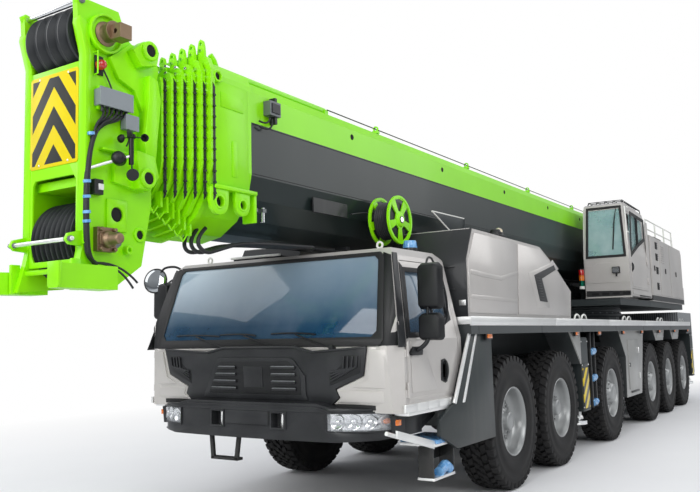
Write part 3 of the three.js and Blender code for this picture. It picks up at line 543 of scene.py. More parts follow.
def deck_colours(wire):
    """Chequer plate on top, a grey skirt below it, and lighter grey locker faces."""
    x, y, z = (axis(wire, name) for name in "XYZ")
    bars = []
    for lean in (1, -1):
        u = (x + y * lean) * 22
        bars.append(abs(u - u.maths("ROUND", u)) < 0.16)
    chequer = bars[0].maths("ADD", *bars).mix((0.13, 0.135, 0.14), (0.3, 0.31, 0.32))
    side = (abs(y) > 1.425) * (z < 1.592) * (x < AXLE_1 - 1)
    body = side.mix(colour(66, 70, 71), colour(150, 150, 147))
    body = (z > 1.7485).mix(body, chequer)
    return body


locker_enamel = enamel("locker_enamel", DARK_GREY, 0.36, 0.25, 0.35, 0.3, 1.5, tint=deck_colours)
coat_nodes(locker_enamel, "deck_and_lockers")
aluminium = metal("drawn_aluminium", (0.93, 0.93, 0.92), 0.42, (0.3, 30, 30))
satin_black = enamel("satin_black", (0.014, 0.015, 0.016), 0.45, 0, 0.15, 0.25)
orange_lens = lens("orange_lens", colour(235, 120, 15))
red_lens = lens("red_lens", colour(200, 22, 24))
white_enamel = enamel("white_enamel", colour(226, 226, 220), 0.4, 0, 0.3, 0.08)

rails = []
for front, rear in ((1.185, -1.3), (-1.306, -3.8), (-3.806, -6.3), (-6.306, -8.8), (-8.806, -10.905)):
    rails += [block((rear, 1.462, 1.682), (front, 1.49, 1.756), aluminium),
              block((rear, 1.47, 1.67), (front, 1.484, 1.684), aluminium)]
rails += [block((1.178, -1.48, 1.682), (1.192, -0.62, 1.752), aluminium)]
rails = both_sides(*rails)
for x in (-2.67, -5.3, -8.0, -10.3):
    for step in (-0.16, 0.16):
        eye = [(x + step + 0.12 * math.cos(a), 1.39, 1.745 + 0.075 * math.sin(a)) for a in
               [math.pi * k / 8 for k in range(9)]]
        rails += both_sides(tube(eye, 0.013, white_enamel))
fitted("deck_edge", rails, "carrier", 0.003)

trims = []
for x in (0.748, -2.16, -3.249, -4.679, -5.982, -7.479, -9.028, -10.579):
    trims += both_sides(
        block((x - 0.075, 1.455, 1.535), (x + 0.075, 1.478, 1.598), satin_black),
        block((x - 0.055, 1.476, 1.548), (x + 0.055, 1.487, 1.586), orange_lens))
for x in (1.0, -0.8, -2.4, -4.2, -6.1, -8.6):
    trims += both_sides(block((x - 0.002, 1.4795, 1.592), (x + 0.002, 1.4815, 1.68), hole_shade_and_joint_black))
door = block((-5.8, 1.428, 0.66), (-5.06, 1.44, 1.44), locker_enamel)
trims += both_sides(
    door, block((-5.7, 1.436, 0.6), (-5.16, 1.441, 0.63), satin_black),
    rod((-5.12, 1.436, 1.05), (-5.12, 1.446, 1.05), 0.024, aluminium),
    block((-5.14, 1.44, 1.02), (-5.1, 1.45, 1.08), satin_black),
    block((-5.805, 1.436, 0.8), (-5.785, 1.446, 0.9), aluminium),
    block((-5.805, 1.436, 1.22), (-5.785, 1.446, 1.32), aluminium))
for x0, x1 in ((-8.02, -7.4), (-9.6, -9.0)):
    trims += both_sides(block((x0, 1.428, 1.45), (x1, 1.437, 1.575), locker_enamel))
trims += both_sides(plate("XZ", [(-2.44, 1.2), (-2.4, 1.2), (-2.0, 1.57), (-2.44, 1.57)], 1.428, 1.437,
                          locker_enamel))
fitted("side_lockers", trims, "carrier", 0.003)

# Fenders behind the cab: bent grey sheet with two aluminium edge strips down to the cab step.
fender_outline = [(0.62, 1.66), (0.6, 0.6), (1.46, 0.6), (1.8, 0.74), (1.8, 0.88), (1.5, 1.0), (1.09, 1.66)]
fender = plate("XZ", fender_outline, 1.402, 1.442, dark_enamel)
strips = [plate("XZ", [(1.135, 1.67), (1.085, 1.67), (1.5, 0.985), (1.545, 1.0)], 1.436, 1.456, aluminium),
          plate("XZ", [(0.98, 1.67), (0.93, 1.67), (1.3, 0.985), (1.35, 0.985)], 1.441, 1.45, aluminium),
          block((1.03, 1.3, 1.68), (1.16, 1.45, 1.7), aluminium)]
guard = block((0.6, 1.05, 0.6), (0.64, 1.42, 1.6), dark_enamel)
fitted("cab_fenders", both_sides(fender, *strips, guard), "carrier", 0.004)

# Rear box: a sheet-steel tail with lamp clusters, blank plate, tow jaw and bumpers.
tail = [block((-11.606, 0.8, 1.56), (-11.59, 1.34, 1.72), satin_black)]
tail += [block((-11.615, 0.83 + 0.125 * k, 1.58), (-11.6, 0.94 + 0.125 * k, 1.7), lamp)
         for k, lamp in enumerate((white_enamel, orange_lens, red_lens, red_lens))]
tail += [rod((-11.6, 0.95, 0.78), (-11.64, 0.95, 0.78), 0.075, rubber, 24),
         block((-11.612, 0.35, 0.66), (-11.6, 1.38, 0.72), satin_black),
         block((-11.608, 0.1, 1.8), (-11.6, 1.3, 1.93), dark_enamel)]
tail = both_sides(*tail)
tail += [block((-11.612, -0.26, 1.28), (-11.6, 0.26, 1.4), white_enamel),
         block((-11.63, -0.16, 0.8), (-11.59, 0.16, 1.08), dark_enamel),
         rod((-11.66, 0, 0.86), (-11.66, 0, 1.02), 0.03, aluminium),
         block((-11.67, -0.09, 0.98), (-11.6, 0.09, 1.02), dark_enamel),
         block((-11.67, -0.09, 0.86), (-11.6, 0.09, 0.9), dark_enamel)]
fitted("tail_fittings", tail, "carrier", 0.003)

# ---- Outriggers ----
# Grey box columns on sliding beams, each with a ground chromed jack and a hazard board.
# A folding ladder stands beside the front left column, its rungs still in blue film.
blue_film, wire = blank("blue_film")
folds = noise(wire, 26, 4, (1, 1, 0.4))
blue_film = surface(blue_film, {
    "Base Color": folds.ramp(0.3, 0.75).mix(colour(45, 120, 185), colour(140, 190, 228)), "Roughness": 0.25,
    "Coat Weight": 0.5, "Normal": wire.node("Bump", {},
                                            {"Strength": 0.6, "Distance": 0.01, "Height": folds})})
hazard_board = {1: hazard("hazard_board_left", 0.21), -1: hazard("hazard_board_right", 0.21)}
chrome = metal("ground_chrome", (0.82, 0.83, 0.84), 0.16, (60, 60, 1))
coat_nodes(chrome, *[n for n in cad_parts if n.startswith("jack")], "lift_rod")


def sided(part, side):
    """The part, mirrored to the right of the crane where side is -1."""
    if side < 0:
        part.data.transform(MIRROR)
        part.data.flip_normals()
    return part


for name, side, middle, half in (("front_left", 1, -2.68, 0.16), ("front_right", -1, -3.03, 0.16),
                                 ("rear_left", 1, -11.32, 0.135), ("rear_right", -1, -11.02, 0.135)):
    fit = [block((middle - half + 0.02, 1.408, 0.585), (middle + half - 0.03, 1.42, 1.11),
                 hazard_board[side]),
           block((middle - half - 0.008, 1.1, 1.495), (middle + half + 0.008, 1.4, 1.515), dark_enamel),
           block((middle - half - 0.006, 1.07, 0.548), (middle + half + 0.006, 1.416, 0.58), dark_enamel),
           block((middle - half - 0.004, 1.405, 1.13), (middle + half + 0.004, 1.414, 1.18), dark_enamel),
           rod((middle, 1.25, 1.5), (middle, 1.25, 1.545), 0.06, dark_enamel, 24),
           tube([(middle + 0.08, 1.16, 1.5), (middle + 0.08, 1.16, 1.56), (middle + 0.02, 1.1, 1.57),
                 (middle, 1.04, 1.5), (middle, 1.03, 1.3)], 0.012, satin_black)]
    for dx in (-1, 1):
        for z in (0.6, 1.15, 1.46):
            fit.append(rod((middle + dx * (half - 0.02), 1.405, z), (middle + dx * (half - 0.02), 1.419, z),
                           0.011, aluminium, 6))
    fit = [sided(part, side) for part in fit]
    fitted("jack_case_" + name, fit, "outrigger_" + name, 0.003)
    pad = [rod((middle, side * 1.245, 0.372), (middle, side * 1.245, 0.392), 0.152, aluminium, 40, 0.15),
           turned([(0.0, 0.44), (0.105, 0.44), (0.1, 0.47), (0.082, 0.49), (0.082, 0.54), (0.0, 0.54)],
                  (middle, side * 1.245, 0), (0, 0, 1), aluminium, 32)]
    fitted("jack_foot_" + name, pad, "jack_" + name, 0.003)

ladder = [block((x - 0.018, 1.36, 0.56), (x + 0.018, 1.41, 1.58), satin_black) for x in (-3.215, -3.02)]
for z in (0.62, 0.95, 1.31):
    ladder += [block((-3.2, 1.355, z - 0.02), (-3.03, 1.405, z + 0.02), satin_black),
               tube([(-3.225, 1.385, z + 0.015), (-3.15, 1.388, z - 0.01), (-3.09, 1.383, z + 0.012),
                     (-3.01, 1.388, z)], 0.048, blue_film)]
fitted("side_ladder", ladder, "carrier", 0.003)

# ---- Engine and hood ----
# Pressed silver-grey panels with bent creases on both sides; the front wall is matt black.
# The dark arrow-shaped recess at the rear of each side lets the cooling air in.
iron = enamel("engine_iron", colour(112, 116, 118), 0.5, 0.5, 0.1, 0.3, 2.0)
coat_nodes(iron, "engine_block")
matt_black = enamel("matt_black", (0.018, 0.019, 0.021), 0.55, 0, 0.1, 0.15)
panels = [
    plate("XZ", [(1.06, 1.79), (1.06, 2.29), (0.9, 2.565), (-0.27, 2.562), (-0.21, 1.79)], 1.418, 1.427,
          silver_enamel),
    plate("XZ",
          [(-0.232, 1.79), (-0.292, 2.562), (-1.02, 2.558), (-1.55, 2.372), (-2.155, 2.1), (-2.1, 1.79)],
          1.418, 1.427, silver_enamel),
    plate("XZ", [(1.02, 2.16), (0.72, 2.145), (0.25, 2.133), (-0.235, 2.222), (-0.235, 2.262), (0.25, 2.178),
                 (0.72, 2.19), (1.02, 2.205)], 1.424, 1.4335, silver_enamel),
    plate("XZ", [(1.03, 1.925), (-0.19, 1.918), (-0.19, 1.955), (1.03, 1.965)], 1.424, 1.432, silver_enamel),
    plate("XZ", [(-0.58, 2.262), (-1.38, 2.425), (-1.47, 2.47), (-1.7, 2.37), (-1.12, 2.245), (-1.3, 1.88),
                 (-0.86, 1.88)], 1.424, 1.43, silver_enamel),
    plate("XZ", [(-0.77, 2.245), (-1.507, 2.408), (-1.572, 2.354), (-1.038, 2.218), (-1.21, 1.946),
                 (-0.931, 1.952)], 1.428, 1.4325, matt_black),
]
for k in range(9):
    z = 1.975 + 0.03 * k
    x = -0.905 + (z - 1.952) * 0.5
    panels.append(block((x - 0.19, 1.431, z), (x - 0.03, 1.4365, z + 0.008), satin_black))
panels += [
    plate("XZ",
          [(1.092, 1.755), (1.104, 1.755), (1.104, 2.304), (0.944, 2.607), (0.932, 2.602), (1.092, 2.3)],
          0.582, 1.418, matt_black),
    block((1.1, 1.335, 1.86), (1.112, 1.405, 1.91), aluminium),
    block((1.1, 0.66, 2.0), (1.1095, 1.3, 2.02), satin_black),
    block((1.1, 0.66, 2.22), (1.1095, 1.3, 2.24), satin_black),
    plate("XZ", [(0.95, 2.6), (-1.04, 2.592), (-1.04, 2.6), (0.94, 2.609)], 0.6, 1.4, silver_enamel),
]
for k in range(10):
    x = -0.9 + 0.085 * k
    panels.append(plate("XZ", [(x, 2.595), (x + 0.05, 2.595), (x + 0.062, 2.616), (x + 0.03, 2.616)], 0.74,
                        1.26, matt_black))
hood = both_sides(*panels)
hood += [block((1.092, -0.6, 1.755), (1.102, 0.6, 2.235), matt_black)]
for k in range(12):
    hood.append(block((1.098, -0.5, 1.8 + 0.034 * k), (1.106, 0.5, 1.815 + 0.034 * k), satin_black))
fitted("hood_panels", hood, "carrier", 0.0035)

# Air intake scoop on the hood's front corner, and the exhaust silencer with its outlet behind it.
intake = [plate("XZ", [(0.33, 2.92), (-0.5, 2.935), (-0.5, 2.8), (-0.14, 2.74)], 0.7, 0.712, dark_enamel),
          tube([(0.33, 0.706, 2.922), (-0.5, 0.706, 2.937)], 0.009, white_enamel, False),
          tube([(0.33, 0.706, 2.92), (-0.14, 0.706, 2.74), (-0.14, 0.706, 2.62)], 0.009, white_enamel,
               False),
          tube([(-0.5, 0.706, 2.93), (-0.5, 0.706, 2.6)], 0.014, dark_enamel, False)]
exhaust = [rod((-0.98, 0.9, 2.585), (-0.98, 0.9, 2.8), 0.1, satin_black, 28),
           rod((-0.98, 0.9, 2.8), (-0.98, 0.9, 2.84), 0.075, satin_black, 28, 0.055),
           rod((-0.84, 0.9, 2.7), (-1.1, 0.9, 2.83), 0.042,
               metal("exhaust_steel", (0.75, 0.66, 0.5), 0.4), 24, 0.05)]
exhaust += [block((-1.08, 0.86, 2.6 + 0.05 * k), (-0.88, 1.005, 2.615 + 0.05 * k),
                  satin_black) for k in range(4)]
fitted("intake_and_exhaust", intake + exhaust, "carrier", 0.003)

# ---- Driver's cab: windscreen and shell ----
# Silver-grey pressed steel cab; the bonded windscreen has a black rubber surround and three wipers.
SCREEN_LEAN = -0.296


def tinted(name, low_z, high_z):
    """Laminated glass: deep blue-grey with a faint film of dust. Its paling towards the upper edge,
    strongest on the crane's right side, is a painted sky reflection.
    """
    material, wire = blank(name)
    # Painted sky reflection: a mask that rises from low_z to high_z, stronger towards negative y, the
    # crane's right side.
    painted_reflection_rise = axis(wire, "Z").ramp(low_z, high_z)
    left = 1 - axis(wire, "Y").ramp(-0.9, 0.9)
    film = noise(wire, 2.2, 5).ramp(0.35, 0.8)
    # Painted reflection: blue-grey mixed towards pale grey-blue up the glass.
    body = (painted_reflection_rise * (left * 0.5 + 0.5)).mix(colour(12, 56, 84), colour(168, 190, 205))
    body = (film * 0.1).mix(body, colour(190, 200, 205))
    return surface(material, {
        "Base Color": body, "Roughness": film * 0.05 + 0.03, "Alpha": 0.9 - painted_reflection_rise * 0.1, "Coat Weight": 0.15,
        "Specular IOR Level": 0.35})


screen_glass = tinted("screen_glass", 1.7, 2.3)
black_rubber = enamel("black_rubber", (0.012, 0.012, 0.013), 0.6, 0, 0.05, 0.1)


def moulded(name, base, rough=0.55):
    """Moulded plastic: fine leather grain, a little paler where it is rubbed."""
    material, wire = blank(name)
    grain = wire.node("TexVoronoi", {}, {"Vector": wire.node("TexCoord", {}, {}, "Object"), "Scale": 420})
    rub = noise(wire, 3.2, 5).ramp(0.4, 0.8)
    return surface(material, {
        "Base Color": rub.mix(base, tuple(min(1, c * 1.5 + 0.006) for c in base)), 
        "Roughness": rub * 0.12 + (rough - 0.04), "Specular IOR Level": 0.3,
        "Normal": wire.node("Bump", {}, {"Strength": 0.1, "Distance": 0.0006, "Height": grain})})


charcoal = moulded("charcoal_plastic", colour(33, 34, 36), 0.38)
# Pale grey plastic, used only for the painted highlight strips on the grille's louvre bars.
louvre_highlight_grey = moulded("louvre_highlight_plastic", colour(92, 94, 96), 0.35)
deep_black = moulded("black_plastic", colour(17, 18, 20), 0.45)


def face_x(y, z):
    """How far forward the front sheet stands at a height and distance from the middle."""
    lean = 0.077 * (min(z, 1.5) - 1.5) + SCREEN_LEAN * max(z - 1.5, 0)
    y = abs(y)
    bow = 0.065 * max(0, 1 - (y / 1.1) ** 2)
    if y > 1.15:
        bow -= 0.2 * (y - 1.15)
    if y > 1.29:
        bow -= 0.85 * (y - 1.29)
    return 2.44 + lean + bow


def sliced(part, places):
    """Adds edges to the part where upright planes across the crane cut it, so that it can bend there."""
    bpy.ops.object.select_all(action="DESELECT")
    part.select_set(True)
    bpy.context.view_layer.objects.active = part
    for y in places:
        edit_all()
        bpy.ops.mesh.bisect(plane_co=(0, y, 0), plane_no=(0, 1, 0), use_fill=False)
        bpy.ops.object.mode_set(mode="OBJECT")
    return part


FACE_BENDS = (-1.29, -1.15, -1.0, -0.75, -0.5, -0.25, 0.0, 0.25, 0.5, 0.75, 1.0, 1.15, 1.29)


def on_face(part, slices=FACE_BENDS, flat=False):
    """Slices the part by upright planes, then lays it on the front sheet; its own x counts from there."""
    for vertex in sliced(part, slices).data.vertices:
        vertex.co.x += face_x(1.1 if flat else vertex.co.y, vertex.co.z)
    return part


OUTER = [(1.235, 1.512), (1.268, 1.56), (1.178, 2.255), (1.135, 2.296)]
INNER_EDGE = [(1.15, 1.585), (1.196, 1.635), (1.128, 2.225), (1.09, 2.262)]


def mirrored(corners):
    """A closed outline from the corners of its left half, bottom first."""
    return [(-y, z) for y, z in reversed(corners)] + list(corners)


surround = hollow(plate("YZ", mirrored(OUTER), -0.01, 0.012, black_rubber),
                  plate("YZ", mirrored(INNER_EDGE), -0.1, 0.1, black_rubber))
front = [on_face(surround, (), True)]
pane = plate("YZ", mirrored([(y + 0.006 * (1 if y > 0 else -1), z) for y, z in INNER_EDGE]), -0.012, 0.004,
             screen_glass)
fitted("windscreen_glass", [on_face(pane, (), True)], "carrier", 0.002,
       stands_for=("windscreen",))
for pivot, tip, low_end, high_end in ((0.8, 0.4, 0.13, 0.61), (0.25, -0.17, -0.46, -0.04),
                                      (-0.33, -0.75, -1.01, -0.47)):
    arm = [(0.035, pivot, 1.5), (0.05, pivot - 0.04, 1.515), (0.03, tip, 1.618)]
    front.append(on_face(tube(arm, 0.0065, deep_black, False), (), True))
    front.append(on_face(tube([(0.018, low_end, 1.628), (0.022, tip, 1.64), (0.018, high_end, 1.616)],
                              0.0065, deep_black), (), True))
    front.append(on_face(rod((0.0, pivot, 1.5), (0.05, pivot, 1.5), 0.022, deep_black), (), True))
for side in (1, -1):
    pillar = plate("YZ", [(1.235, 1.514), (1.396, 1.514), (1.396, 1.56), (1.24, 2.262), (1.165, 2.29)],
                   -0.01, 0.008, deep_black)
    for vertex in sliced(sided(pillar, side), (side * 1.3, side * 1.35)).data.vertices:
        vertex.co.x += min(face_x(1.1, vertex.co.z), 2.43 - (abs(vertex.co.y) - 1.3))
    front.append(pillar)
fitted("windscreen_surround", front, "carrier", 0.002)

# Grille panel: one bowed charcoal moulding with a raised middle, louvre bars and stepped corner vents. The
# pale strip along the upper front of each louvre bar is a painted highlight.
sheet = on_face(plate("YZ", [
    (-1.125, 1.497), (-1.08, 1.275), (-0.82, 1.168), (-0.85, 1.1), (-0.78, 1.035), (0.78, 1.035),
                             (0.85, 1.1),
    (0.82, 1.168), (1.08, 1.275), (1.125, 1.497), (0.62, 1.462), (0.44, 1.505), (-0.34, 1.505),
                             (-0.55, 1.462)],
    -0.01, 0.016, charcoal))
ledge = on_face(plate("YZ", [(-1.125, 1.497), (-0.55, 1.462), (-0.34, 1.505), (0.44, 1.505), (0.62, 1.462),
                             (1.125, 1.497),
                             (1.12, 1.512), (0.62, 1.48), (0.44, 1.524), (-0.34, 1.524), (-0.55, 1.48),
                             (-1.12, 1.512)], 0.0, 0.026, charcoal))
raised = on_face(plate("YZ", [(-0.6, 1.075), (-0.585, 1.12), (-0.42, 1.405), (-0.38, 1.425), (0.4, 1.425),
                              (0.44, 1.405),
                              (0.545, 1.27), (0.545, 1.12), (0.56, 1.075)], 0.01, 0.03, charcoal))
field = on_face(plate("YZ", [(-0.535, 1.115), (-0.385, 1.385), (-0.36, 1.395), (0.38, 1.395), (0.405, 1.38),
                             (0.5, 1.26), (0.5, 1.115)], 0.026, 0.0325, deep_black))
louvres = []
for k in range(4):
    z = 1.345 - 0.061 * k
    for y0, y1 in ((-0.395 - 0.032 * k, -0.185), (0.205, 0.46)):
        louvres.append(on_face(plate("YZ", [(y0, z - 0.014), (y1, z - 0.014), (y1, z + 0.01),
                                            (y0 + 0.02, z + 0.01)], 0.03, 0.05, charcoal), (-0.25, 0.25)))
        # Pale strip on the bar's upper front: a painted highlight.
        louvres.append(on_face(plate("YZ", [(y0, z + 0.002), (y1, z + 0.002), (y1, z + 0.0115),
                                            (y0 + 0.02, z + 0.0115)],
                                     0.046, 0.0515, louvre_highlight_grey), (-0.25, 0.25)))


def slab(plane, low, high, near, far, material):
    """A plate whose outline is a rectangle from low to high."""
    outline = [low, (high[0], low[1]), high, (low[0], high[1])]
    return plate(plane, outline, near, far, material)


badge_blank = on_face(slab("YZ", (-0.1, 1.17), (0.11, 1.35), 0.03, 0.036,
                            charcoal), ())
vents = []
for side in (1, -1):
    pocket = plate("YZ", [(1.075, 1.44), (1.055, 1.3), (0.77, 1.19), (0.775, 1.275), (0.9, 1.37),
                          (0.925, 1.44)], 0.012, 0.0185, deep_black)
    vents.append(on_face(sided(pocket, side), (-1.0, 1.0)))
    for k in range(4):
        a = 0.04 * k
        bar = plate("YZ", [(1.048 - a, 1.432), (1.036 - a, 1.345 - a * 0.2), (0.785, 1.222 + a * 0.62),
                           (0.785, 1.236 + a * 0.62), (1.022 - a, 1.357 - a * 0.2), (1.03 - a, 1.432)],
                    0.016, 0.032, charcoal)
        vents.append(on_face(sided(bar, side), (-1.0, 1.0)))
fitted("grille_panel", [sheet, ledge, raised, field, badge_blank, *louvres, *vents], "carrier",
       0.004)

# Corner panels: silver-painted covers with a folded lower edge, either side of the grille.
corners = []
for side in (1, -1):
    for outline, x0, x1 in (
            ([(1.14, 1.505), (1.09, 1.27), (0.83, 1.162), (0.86, 1.095), (0.8, 1.045), (1.3, 1.045),
              (1.385, 1.2), (1.385, 1.44), (1.36, 1.505)], -0.012, 0.012),
            ([(1.16, 1.485), (1.12, 1.25), (0.98, 1.185), (1.27, 1.175), (1.36, 1.215), (1.36, 1.43),
              (1.34, 1.485)], 0.008, 0.024),
            ([(0.86, 1.15), (0.88, 1.098), (0.84, 1.06), (1.28, 1.06), (1.355, 1.185), (1.27, 1.15),
              (0.97, 1.16)], 0.008, 0.02)):
        corners.append(on_face(sided(plate("YZ", outline, x0, x1, silver_enamel), side)))
    gap = plate("YZ", [(0.8, 1.0), (1.3, 1.0), (1.34, 1.04), (0.8, 1.04)], -0.02, 0.004, black_rubber)
    corners.append(on_face(sided(gap, side)))
fitted("cab_corner_panels", corners, "carrier", 0.006, segments=3)

# ---- Bumper and headlamps ----
# A folded charcoal steel beam with two square tow pockets and a blank plate between them.
# Clear headlamp clusters with chromed reflectors fill its ends.
def bumper_x(y):
    y = abs(y)
    return 2.605 - 0.05 * (y / 0.9) ** 2 - 0.38 * max(y - 0.9, 0) - 1.3 * max(y - 1.16, 0)


def on_bumper(part, slices=(-1.2, -1.05, -0.9, -0.6, -0.3, 0, 0.3, 0.6, 0.9, 1.05, 1.2)):
    """Slices the part, then bends it to the bow of the bumper."""
    for vertex in sliced(part, slices).data.vertices:
        vertex.co.x += bumper_x(vertex.co.y)
    return part


beam = plate("YZ", [(-1.32, 0.79), (-1.18, 0.765), (-0.86, 0.752), (0.86, 0.752), (1.18, 0.765),
                    (1.32, 0.79), (1.32, 1.005),
                    (0.86, 1.02), (0.7, 1.055), (-0.7, 1.055), (-0.86, 1.02), (-1.32, 1.005)], -0.22,
             0.0, charcoal)
for y in (-0.335, 0.335):
    beam = hollow(beam, block((-0.09, y - 0.072, 0.845), (0.05, y + 0.072, 0.975), charcoal))
for side in (1, -1):
    low, high = sorted((side * 0.8, side * 1.285))
    beam = hollow(beam, slab("YZ", (low, 0.835), (high, 0.985), -0.05, 0.05,
                              charcoal))
front = [on_bumper(beam),
         on_bumper(plate("YZ", [(-0.88, 0.985), (0.88, 0.985), (0.72, 1.03), (-0.72, 1.03)], -0.004, 0.01,
                         charcoal)),
         on_bumper(block((-0.004, -0.245, 0.862), (0.006, 0.245, 0.992), deep_black), (0,)),
         on_bumper(block((0.004, -0.235, 0.872), (0.009, 0.235, 0.982), charcoal), (0,))]
for y in (-0.335, 0.335):
    front += [on_bumper(hollow(block((-0.01, y - 0.082, 0.835), (0.008, y + 0.082, 0.985), charcoal),
                               block((-0.05, y - 0.066, 0.851), (0.05, y + 0.066, 0.969), charcoal)), ()),
              rod((2.53, y, 0.84), (2.53, y, 0.98), 0.018, aluminium)]
mirror_chrome, wire = blank("reflector_chrome")
ripple = noise(wire, 55, 2)
mirror_chrome = surface(mirror_chrome,
                        {"Base Color": ripple.mix((0.22, 0.23, 0.25), (0.95, 0.95, 0.96)), "Metallic": 1.0,
                                        "Roughness": ripple * 0.15 + 0.05})
clear_lens, wire = blank("clear_lens")
prisms = noise(wire, 75, 1, (1, 1, 0.2))
clear_lens = surface(clear_lens,
                     {"Base Color": prisms.mix((0.75, 0.8, 0.84), (0.95, 0.97, 1.0)), "Roughness": 0.05,
                                  "Alpha": prisms * 0.16 + 0.06, "Coat Weight": 0.5})
lamp_parts = []
for side in (1, -1):
    bits = [plate("YZ", [(0.812, 0.845), (1.27, 0.845), (1.277, 0.975), (0.812, 0.975)], -0.045, -0.04,
                  mirror_chrome)]
    for y, r in ((0.885, 0.05), (1.005, 0.055), (1.125, 0.045), (1.215, 0.036)):
        bits.append(turned([(0.01, -0.04), (r, -0.012), (r + 0.006, -0.01), (r + 0.006, -0.04)],
                           (0, y, 0.912), (1, 0, 0), mirror_chrome, 24))
        bits.append(turned([(0.0, -0.038), (0.018, -0.034), (0.021, -0.022), (0.012, -0.012), (0.0, -0.01)],
                           (0, y, 0.912), (1, 0, 0), orange_lens if y > 1.2 else mirror_chrome, 20))
    bits.append(plate("YZ", [(0.806, 0.84), (1.275, 0.838), (1.282, 0.98), (0.806, 0.98)], -0.006, 0.004,
                      clear_lens))
    bits.append(hollow(plate("YZ", [(0.796, 0.828), (1.287, 0.828), (1.293, 0.992), (0.796, 0.992)], -0.02,
                             0.008, charcoal),
                       plate("YZ", [(0.81, 0.842), (1.271, 0.842), (1.277, 0.977), (0.81, 0.977)], -0.1,
                             0.1, charcoal)))
    lamp_parts += [on_bumper(sided(bit, side), (-1.2, -1.1, -0.95, 0.95, 1.1, 1.2)) for bit in bits]
fitted("front_bumper", front, "carrier", 0.005, stands_for=("bumper",))
fitted("headlamps", lamp_parts, "carrier", 0.0015, segments=1)

# Step frame under the bumper, on the right of the middle, bent from flat black bar.
frame_step = []
for y, low in ((-0.53, -0.505), (-0.2, -0.235)):
    frame_step.append(plate("YZ", [(y - 0.018, 0.79), (low - 0.018, 0.535), (low + 0.018, 0.535),
                                   (y + 0.018, 0.79)], 2.445, 2.475, satin_black))
frame_step += [block((2.4, -0.525, 0.528), (2.475, -0.215, 0.552), satin_black),
               block((2.36, -0.62, 0.75), (2.48, -0.4, 0.775), satin_black)]
fitted("front_step", frame_step, "carrier", 0.002)

# ---- Cab doors, sills and steps ----
# Each pressed door carries its glass in a black seal, a recessed handle and the mirror arm.
def door_y(z):
    return 1.4 - 0.2254 * max(z - 1.56, 0)


def on_door(part):
    """Leans a part with the door; its own y counts outwards from the door's skin."""
    for vertex in part.data.vertices:
        vertex.co.y += door_y(vertex.co.z)
    return part


PANE = [(1.395, 1.742), (1.897, 1.596), (2.213, 1.596), (2.064, 2.145), (1.395, 2.155)]
SEAL = [(1.37, 1.722), (1.89, 1.572), (2.236, 1.572), (2.08, 2.168), (1.37, 2.178)]
INNER = [(1.418, 1.76), (1.905, 1.616), (2.196, 1.616), (2.052, 2.128), (1.418, 2.136)]
for side, name in ((1, "left"), (-1, "right")):
    leaf = [on_door(plate("XZ", PANE, -0.034, -0.026, screen_glass)),
            on_door(hollow(plate("XZ", SEAL, -0.02, 0.005, black_rubber),
                           plate("XZ", INNER, -0.1, 0.1, black_rubber))),
            on_door(plate("XZ", [(2.24, 1.575), (2.286, 1.565), (2.118, 2.205), (2.078, 2.172)], -0.004,
                          0.007, deep_black)),
            on_door(block((1.7, -0.012, 1.655), (1.722, 0.008, 2.15), black_rubber)),
            on_door(hollow(plate("XZ", [(1.56, 1.185), (1.6, 1.175), (1.68, 1.2), (1.67, 1.375),
                                        (1.6, 1.385), (1.555, 1.36)], -0.006, 0.006, deep_black),
                           block((1.585, 0.0, 1.22), (1.645, 0.05, 1.34), deep_black))),
            tube([(1.6, 1.408, 1.365), (1.605, 1.432, 1.34), (1.61, 1.432, 1.23), (1.605, 1.408, 1.195)],
                 0.012, deep_black),
            on_door(plate("XZ", [(1.34, 1.07), (2.25, 1.07), (2.25, 1.09), (1.72, 1.1), (1.34, 1.11)],
                          -0.004, 0.006, silver_enamel)),
            on_door(plate("XZ", [(1.76, 1.13), (2.22, 1.13), (2.22, 1.545), (1.98, 1.545), (1.93, 1.42)],
                          -0.004, 0.006, silver_enamel)),
            on_door(plate("XZ", [(2.222, 1.05), (2.262, 1.05), (2.262, 1.55), (2.232, 1.56)], -0.004, 0.004,
                          silver_enamel))]
    leaf = [sided(part, side) for part in leaf]
    fitted("door_trim_" + name, leaf, "cab_door_" + name, 0.0025)

